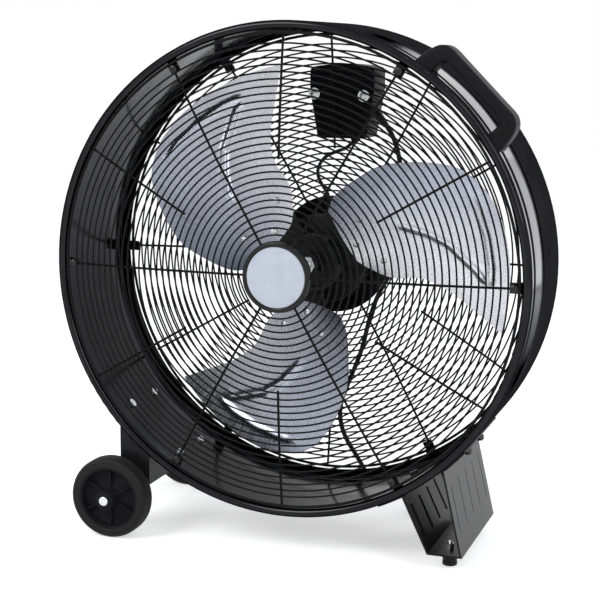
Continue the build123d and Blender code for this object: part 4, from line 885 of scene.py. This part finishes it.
SPAN_STEPS = 4
handle_rows = []
for k in range(len(outside) - 1):
    for t in (j / SPAN_STEPS for j in range(SPAN_STEPS)):
        handle_rows.append(handle_row(between(outside, k, t), between(inside, k, t)))
handle_rows.append(handle_row(outside[-1], inside[-1]))
handle = Form()
handle.skin(handle_rows)
handle.piece("carry_handle", "frame", "black_plastic", ["handle_grip"], sharp=60.0)

# ---------------------------------------------------------------- wheels
AXLE_SPOT = (-246.5, -324.0)
SPOKES = 6
SPOKE_HALF = 1.1
SPOKE_SLOPE = 0.9
POCKET_STEPS = 8


def spoke_row(radius, raised, sunk):
    """A ring of the wheel's middle: raised at the spokes, sunk in the pockets between them."""
    row = []
    edge = math.degrees(SPOKE_HALF / radius)
    foot = math.degrees((SPOKE_HALF + SPOKE_SLOPE) / radius)
    sector = 360 / SPOKES
    for k in range(SPOKES):
        start = 30 + sector * k
        angles = [(-edge, raised), (edge, raised)]
        angles += [(foot + (sector - 2 * foot) * j / POCKET_STEPS, sunk) for j in range(POCKET_STEPS + 1)]
        for angle, depth in angles:
            u, w = polar(radius, start + angle)
            row.append(at(AXLE_SPOT[0] + u, depth, AXLE_SPOT[1] + w))
    return row


# Radius, and distance outward from the inner face at a spoke and in a pocket.
WHEEL_PROFILE = (
    (5.06, 41.0, 41.0), (5.5, 41.0, 41.0), (12.2, 41.0, 41.0), (12.8, 40.7, 40.7), (13.0, 40.2, 40.2),
    (13.1, 30.0, 30.0), (13.4, 26.0, 25.0), (14.2, 24.2, 20.5), (15.6, 23.2, 18.6), (18.0, 22.4, 17.4),
    (22.0, 21.7, 16.4), (27.0, 21.3, 15.8), (32.0, 21.6, 15.8), (36.0, 22.6, 16.6), (38.6, 24.0, 18.4),
    (39.8, 25.6, 21.5), (40.3, 27.0, 26.2), (40.9, 28.1, 28.1), (41.6, 28.5, 28.5), (44.0, 28.5, 28.5),
    (44.0, 1.5, 1.5), (40.0, 1.5, 1.5), (39.6, 2.5, 2.5), (38.6, 9.6, 9.6), (34.0, 11.0, 11.0),
    (20.0, 11.0, 11.0), (14.0, 9.6, 9.6), (13.0, 6.0, 6.0), (13.0, 0.4, 0.4), (12.6, 0.0, 0.0),
    (5.06, 0.0, 0.0),
)
TYRE_WIDTH = 30.0
TYRE_SIDE = [
    (44.05, 1.6), (45.4, 0.9), (47.2, 0.45), (49.0, 0.35), (49.6, 0.9), (50.3, 0.95), (50.9, 0.3),
    (52.4, 0.5), (54.2, 1.5), (55.6, 3.1), (56.4, 5.0),
]
TYRE_TREAD = [
    (56.9, 7.4), (57.0, 9.6), (56.3, 10.0), (56.3, 11.2), (57.0, 11.6), (57.0, 14.0), (56.3, 14.4),
]


def make_wheel(name, inner_face, way):
    """A moulded wheel centre with spokes and a long boss, and its tyre; way is +1 or -1 outward."""

    def out(distance):
        return inner_face + way * distance

    middle = Form()
    rows = [spoke_row(radius, out(raised), out(sunk)) for radius, raised, sunk in WHEEL_PROFILE]
    middle.skin(rows, loop=True)
    middle.piece(f"{name}_wheel_centre", f"{name}_wheel", "black_plastic", [f"{name}_wheel_hub"])

    tyre = Form()
    half = TYRE_SIDE + TYRE_TREAD
    profile = half + [(radius, TYRE_WIDTH - across) for radius, across in reversed(half)]
    tyre.lathe(AXLE_SPOT, [(radius, out(across)) for radius, across in profile], steps=120, loop=True)
    tyre.piece(f"{name}_tyre_moulding", f"{name}_wheel", "tyre_rubber", [f"{name}_tyre"], sharp=50.0)


FRONT_WHEEL_FACE, REAR_WHEEL_FACE = 4.6, 239.5
make_wheel("front", FRONT_WHEEL_FACE, -1)
make_wheel("rear", REAR_WHEEL_FACE, 1)

AXLE_ENDS = ((-36.8, -1), (280.9, 1))
caps = Form()
cap_profile = [
    (5.0, -1.0), (5.0, 0.0), (6.4, 0.0), (6.6, 0.2), (6.6, 1.0), (6.2, 1.8), (5.2, 2.4), (3.6, 2.8),
    (1.8, 2.98), (0.6, 3.0),
]
for start, way in AXLE_ENDS:
    caps.turned(at(AXLE_SPOT[0], start, AXLE_SPOT[1]), (0, way, 0), cap_profile, steps=40)
caps.piece("axle_push_caps", "frame", "zinc_steel", ["axle_caps"])

# ---------------------------------------------------------------- foot bumpers
BUMPER_X = 226.5
BUMPER_DEPTHS = (38.0, 173.0)
BUMPER_PROFILE = [
    (6.0, 6.0), (6.0, 1.0), (6.6, 0.2), (9.0, 0.0), (9.7, 0.5), (10.0, 1.4), (9.85, 5.0), (9.1, 5.6),
    (9.1, 6.8), (9.8, 7.4), (9.6, 12.0), (9.3, 20.0), (9.0, 20.8), (8.4, 21.0), (3.0, 21.0), (3.0, 6.0),
]
bumpers, bumper_bolts = Form(), Form()
for depth in BUMPER_DEPTHS:
    foot = at(BUMPER_X, depth, -AXIS_Z)
    bumpers.turned(foot, (0, 0, 1), BUMPER_PROFILE, steps=48, loop=True)
    pan_head(bumper_bolts, foot + Vector((0, 0, 6.0)) * MM, (0, 0, -1), 5.4, 3.3, 1.5)
    bumper_bolts.turned(foot, (0, 0, 1), [(3.0, 5.8), (3.0, 31.6), (2.4, 32.5)])
    hex_head(bumper_bolts, foot + Vector((0, 0, 23.5)) * MM, (0, 0, 1), 5.7, 6.0)
bumpers.piece("rubber_bumpers", "frame", "black_rubber", ["foot_bumpers"])
bumper_bolts.piece("bumper_bolts", "frame", "zinc_steel", ["bumper_screws"])

# ---------------------------------------------------------------- rivets
RIVET_SPOTS = ((101.0, 3.7), (70.0, 24.0), (98.0, 41.6))
RIVET_SHANK, RIVET_HEAD, RIVET_GRIP = 2.4, 4.5, 4.18
RIVET_FRONT = [
    (RIVET_SHANK, -2.0), (RIVET_SHANK, 0.04), (RIVET_HEAD, 0.04), (4.6, 0.3), (4.2, 1.0), (3.2, 1.5),
    (1.8, 1.8), (0.5, 1.84),
]
RIVET_REAR = [
    (RIVET_SHANK, RIVET_GRIP - 2.0), (RIVET_SHANK, RIVET_GRIP), (RIVET_HEAD, RIVET_GRIP), (4.4, 4.6),
    (3.4, 5.4), (1.8, 5.74), (0.5, 5.78),
]
rivets = Form()
for axis_angle in BLADE_ANGLES:
    turn = Matrix.Rotation(-math.radians(axis_angle), 3, "Y")
    for radius, phi in RIVET_SPOTS:
        x, z = polar(radius, phi)
        slope_x, slope_z = surface_slopes(x, z)
        forward = turn @ Vector((slope_x, -1.0, slope_z)).normalized()
        spot = at(*(turn @ Vector((x, surface_depth(x, z), z))))
        rivets.turned(spot, forward, RIVET_FRONT, steps=28)
        rivets.turned(spot, -forward, RIVET_REAR, steps=28)
rivets.piece("rivet_heads", "fan", "rivet_metal", ["blade_rivets"])


# ---------------------------------------------------------------- power cord
CORD_RADIUS = 3.5
CORD_DEPTH = 255.0
GLAND_ROOT = (50.8, CORD_DEPTH, 205.6)
GLAND_WAY = (math.cos(math.radians(50)), 0.0, -math.sin(math.radians(50)))
GLAND_LENGTH = 26.0
COIL_CENTRE = (86.0, 345.0)
TIE_SHEET = 0.8
LOWER_Z = TIE_SHEET + CORD_RADIUS - AXIS_Z
UPPER_Z = TIE_SHEET + 3 * CORD_RADIUS - AXIS_Z
TURN_POINTS = 24
COIL_TURNS = 4.5
COIL_OUTER, COIL_PITCH, TURN_EASE = 46.35, 7.08, 0.2
gland_end = [GLAND_ROOT[k] + GLAND_WAY[k] * GLAND_LENGTH for k in range(3)]
cord_points = [
    gland_end,
    [gland_end[k] + GLAND_WAY[k] * 16 for k in range(3)],
    (88, CORD_DEPTH, 142),
    (97, CORD_DEPTH, 88),
    (98, CORD_DEPTH, 32),
    (86, CORD_DEPTH, -16),
    (61, CORD_DEPTH, -56),
    (46, CORD_DEPTH, -98),
    (36, CORD_DEPTH, -146),
    (16, CORD_DEPTH, -195),
    (0, CORD_DEPTH, -238),
    (7, CORD_DEPTH, -278),
    (31, CORD_DEPTH + 3, -314),
    (46, CORD_DEPTH + 16, -350),
    (47, CORD_DEPTH + 42, LOWER_Z + 2),
]


def coil_radius_at(turn):
    """Radius of the winding after a number of turns: in by one cord a turn below, and out above."""
    steps_in = smooth((turn - 0.8) / TURN_EASE) + smooth((turn - 1.8) / TURN_EASE)
    steps_out = smooth((turn - 2.8) / TURN_EASE) + smooth((turn - 3.8) / TURN_EASE)
    return COIL_OUTER - COIL_PITCH * (steps_in - steps_out)


for k in range(int(TURN_POINTS * COIL_TURNS) + 1):
    turn = k / TURN_POINTS
    u, w = polar(coil_radius_at(turn), 180 - 360 * turn)
    lift = smooth((turn - 2.05) / TURN_EASE)
    cord_points.append((COIL_CENTRE[0] + u, COIL_CENTRE[1] + w, LOWER_Z + (UPPER_Z - LOWER_Z) * lift))
PLUG_MIDDLE = (COIL_CENTRE[0] + 46 + 5.5, COIL_CENTRE[1] - 12 - 50, 18 - AXIS_Z)
cord_points += [
    (COIL_CENTRE[0] + 46, COIL_CENTRE[1] - 12, UPPER_Z),
    (COIL_CENTRE[0] + 46, COIL_CENTRE[1] - 29, UPPER_Z + 0.8),
    (PLUG_MIDDLE[0], PLUG_MIDDLE[1] + 16, PLUG_MIDDLE[2]),
    PLUG_MIDDLE,
]


def flex(name, points, radius, slot, body="frame"):
    """A round flexible cord on a smooth line with these control points."""
    curve = bpy.data.curves.new(name, "CURVE")
    curve.dimensions = "3D"
    line = curve.splines.new("NURBS")
    line.points.add(len(points) - 1)
    for spline_point, place in zip(line.points, points):
        spline_point.co = (*at(*place), 1.0)
    line.order_u = 3
    line.use_endpoint_u = True
    line.resolution_u = 8
    curve.bevel_depth = radius * MM
    curve.bevel_resolution = 5
    curve.use_fill_caps = True
    curve.materials.append(finishes[slot])
    cord = bpy.data.objects.new(name, curve)
    scene.collection.objects.link(cord)
    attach(cord, body)
    return cord


# ---------------------------------------------------------------- cord's strain relief, plug and tie
RELIEF_RIBS, PLUG_RIBS = 7, 4
relief = Form()
profile = [(8.3, -6.0), (8.3, 3.8), (7.9, 4.6), (7.0, 5.0)]
for k in range(RELIEF_RIBS):
    start, radius = 6.2 + 2.75 * k, 6.9 - 0.31 * k
    profile += [(radius - 0.9, start), (radius - 0.9, start + 0.9)]
    profile += [(radius, start + 1.2), (radius, start + 2.3)]
profile += [(4.6, 25.6), (4.2, 26.0)]
relief.turned(at(*GLAND_ROOT), GLAND_WAY, profile, steps=40)
relief.piece("cord_strain_relief", "frame", "black_rubber", ["cord_gland"])

plug = Form()
plug_profile = [(4.6, 0.0), (5.0, 0.4)]
for k in range(PLUG_RIBS):
    start, radius = 1.2 + 3.4 * k, 6.2 + 1.3 * k
    plug_profile += [(radius - 1.2, start), (radius - 1.1, start + 1.2)]
    plug_profile += [(radius, start + 1.6), (radius + 0.3, start + 3.0)]
plug_profile += [
    (10.9, 15.2), (13.4, 16.4), (16.2, 17.4), (17.6, 19.0), (18.0, 21.0), (18.0, 27.0), (17.3, 27.7),
    (17.3, 29.3), (18.0, 30.0), (18.0, 32.6), (17.3, 33.3), (17.3, 34.9), (18.0, 35.6), (18.0, 51.6),
    (17.6, 53.0), (16.6, 53.9), (15.4, 54.0), (6.0, 54.0),
]
plug_start = at(*PLUG_MIDDLE)
plug.turned(plug_start, (0, -1, 0), plug_profile, steps=56)
plug_moulding = plug.piece("plug_moulding", "frame", "black_rubber", ["plug_body"])
pins = Form()
PIN_SPREAD = 9.5
pin_profile = [(2.4, 53.5), (2.4, 71.2), (2.1, 72.3), (1.3, 72.9), (0.4, 73.0)]
for u in (-PIN_SPREAD, PIN_SPREAD):
    pins.turned(plug_start + Vector((u, 0, 0)) * MM, (0, -1, 0), pin_profile, steps=24)
plug_contacts = pins.piece("plug_contacts", "frame", "plug_brass", ["plug_pins"])

mains_flex = flex("mains_flex", cord_points, CORD_RADIUS, "black_rubber")
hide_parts("power_cord", "cord_coil", "cord_tail")

MOTOR_MIDDLE = 195.62
BOX_END = (21.25, 244.1, 161.6)
LEAD_RADIUS = 2.5
lead_points = [
    (2, MOTOR_MIDDLE, 68),
    (2, MOTOR_MIDDLE, 89),
    (-9, MOTOR_MIDDLE + 1, 101),
    (-20, MOTOR_MIDDLE + 5, 120),
    (-12, MOTOR_MIDDLE + 12, 141),
    (8, 215, 150.45),
    (BOX_END[0] - 8.94, BOX_END[1] - 4.19, BOX_END[2] - 9.92),
    BOX_END,
]
motor_flex = flex("motor_flex", lead_points, LEAD_RADIUS, "black_rubber")
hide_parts("motor_lead")

# ---------------------------------------------------------------- floor, world and lamps
FLOOR_HALF = 8
floor_mesh = bpy.data.meshes.new("floor")
floor_corners = [(u * FLOOR_HALF, v * FLOOR_HALF, 0) for u, v in ((-1, -1), (1, -1), (1, 1), (-1, 1))]
floor_mesh.from_pydata(floor_corners, [], [(0, 1, 2, 3)])
floor = bpy.data.objects.new("floor", floor_mesh)
scene.collection.objects.link(floor)


def seen_rays(tree):
    """A node output that is 1 for rays from the camera, off gloss or through glass."""
    path = add(tree, "LightPath").outputs
    either = maths(tree, "MAXIMUM", path["Is Camera Ray"], path["Is Glossy Ray"])
    return maths(tree, "MAXIMUM", either, path["Is Transmission Ray"])


FLOOR_LIFT = 0.53
WORLD_LIGHT = (0.55, 0.56, 0.58, 1.0)
WHITE = (1.0, 1.0, 1.0, 1.0)
floor_material = bpy.data.materials.new("floor_white")
floor_material.use_nodes = True
tree = floor_material.node_tree
floor_shader = tree.nodes["Principled BSDF"]
floor_shader.inputs["Base Color"].default_value = (0.88, 0.88, 0.88, 1.0)
floor_shader.inputs["Roughness"].default_value = 0.9
floor_shader.inputs["Specular IOR Level"].default_value = 0.0
floor_shader.inputs["Emission Color"].default_value = WHITE
feed(tree, floor_shader.inputs["Emission Strength"], maths(tree, "MULTIPLY", seen_rays(tree), FLOOR_LIFT))
floor_mesh.materials.append(floor_material)

world = bpy.data.worlds.new("studio")
scene.world = world
world.use_nodes = True
tree = world.node_tree
background = tree.nodes["Background"]
background.inputs["Strength"].default_value = 1.0
feed(tree, background.inputs["Color"], blend(tree, "MIX", seen_rays(tree), WORLD_LIGHT, WHITE))


def softbox(name, place, target, size, power, along=(0, 0, 1)):
    """A rectangular lamp facing a target, with its second side along a direction."""
    lamp = bpy.data.lights.new(name, "AREA")
    lamp.shape = "RECTANGLE"
    lamp.size, lamp.size_y = size
    lamp.energy = power
    holder = bpy.data.objects.new(name, lamp)
    scene.collection.objects.link(holder)
    holder.location = place
    holder.rotation_mode = "QUATERNION"
    back = (Vector(place) - Vector(target)).normalized()
    side = Vector(along).cross(back).normalized()
    holder.rotation_quaternion = Matrix((side, back.cross(side), back)).transposed().to_quaternion()


softbox("key", (-1.6, -2.6, 2.6), (0, 0, 0.4), (1.6, 1.6), 60)
softbox("fill", (2.4, -1.6, 1.8), (0, 0, 0.4), (1.0, 2.0), 25)
softbox("rim_low", (1.45, 1.54, 0.65), (0.32, -0.1, 0.40), (0.36, 1.2), 5)
softbox("rim_high", (0.78, 1.54, 1.56), (0.25, -0.1, 0.60), (0.36, 1.3), 5.5, along=(-0.85, 0, 0.5))
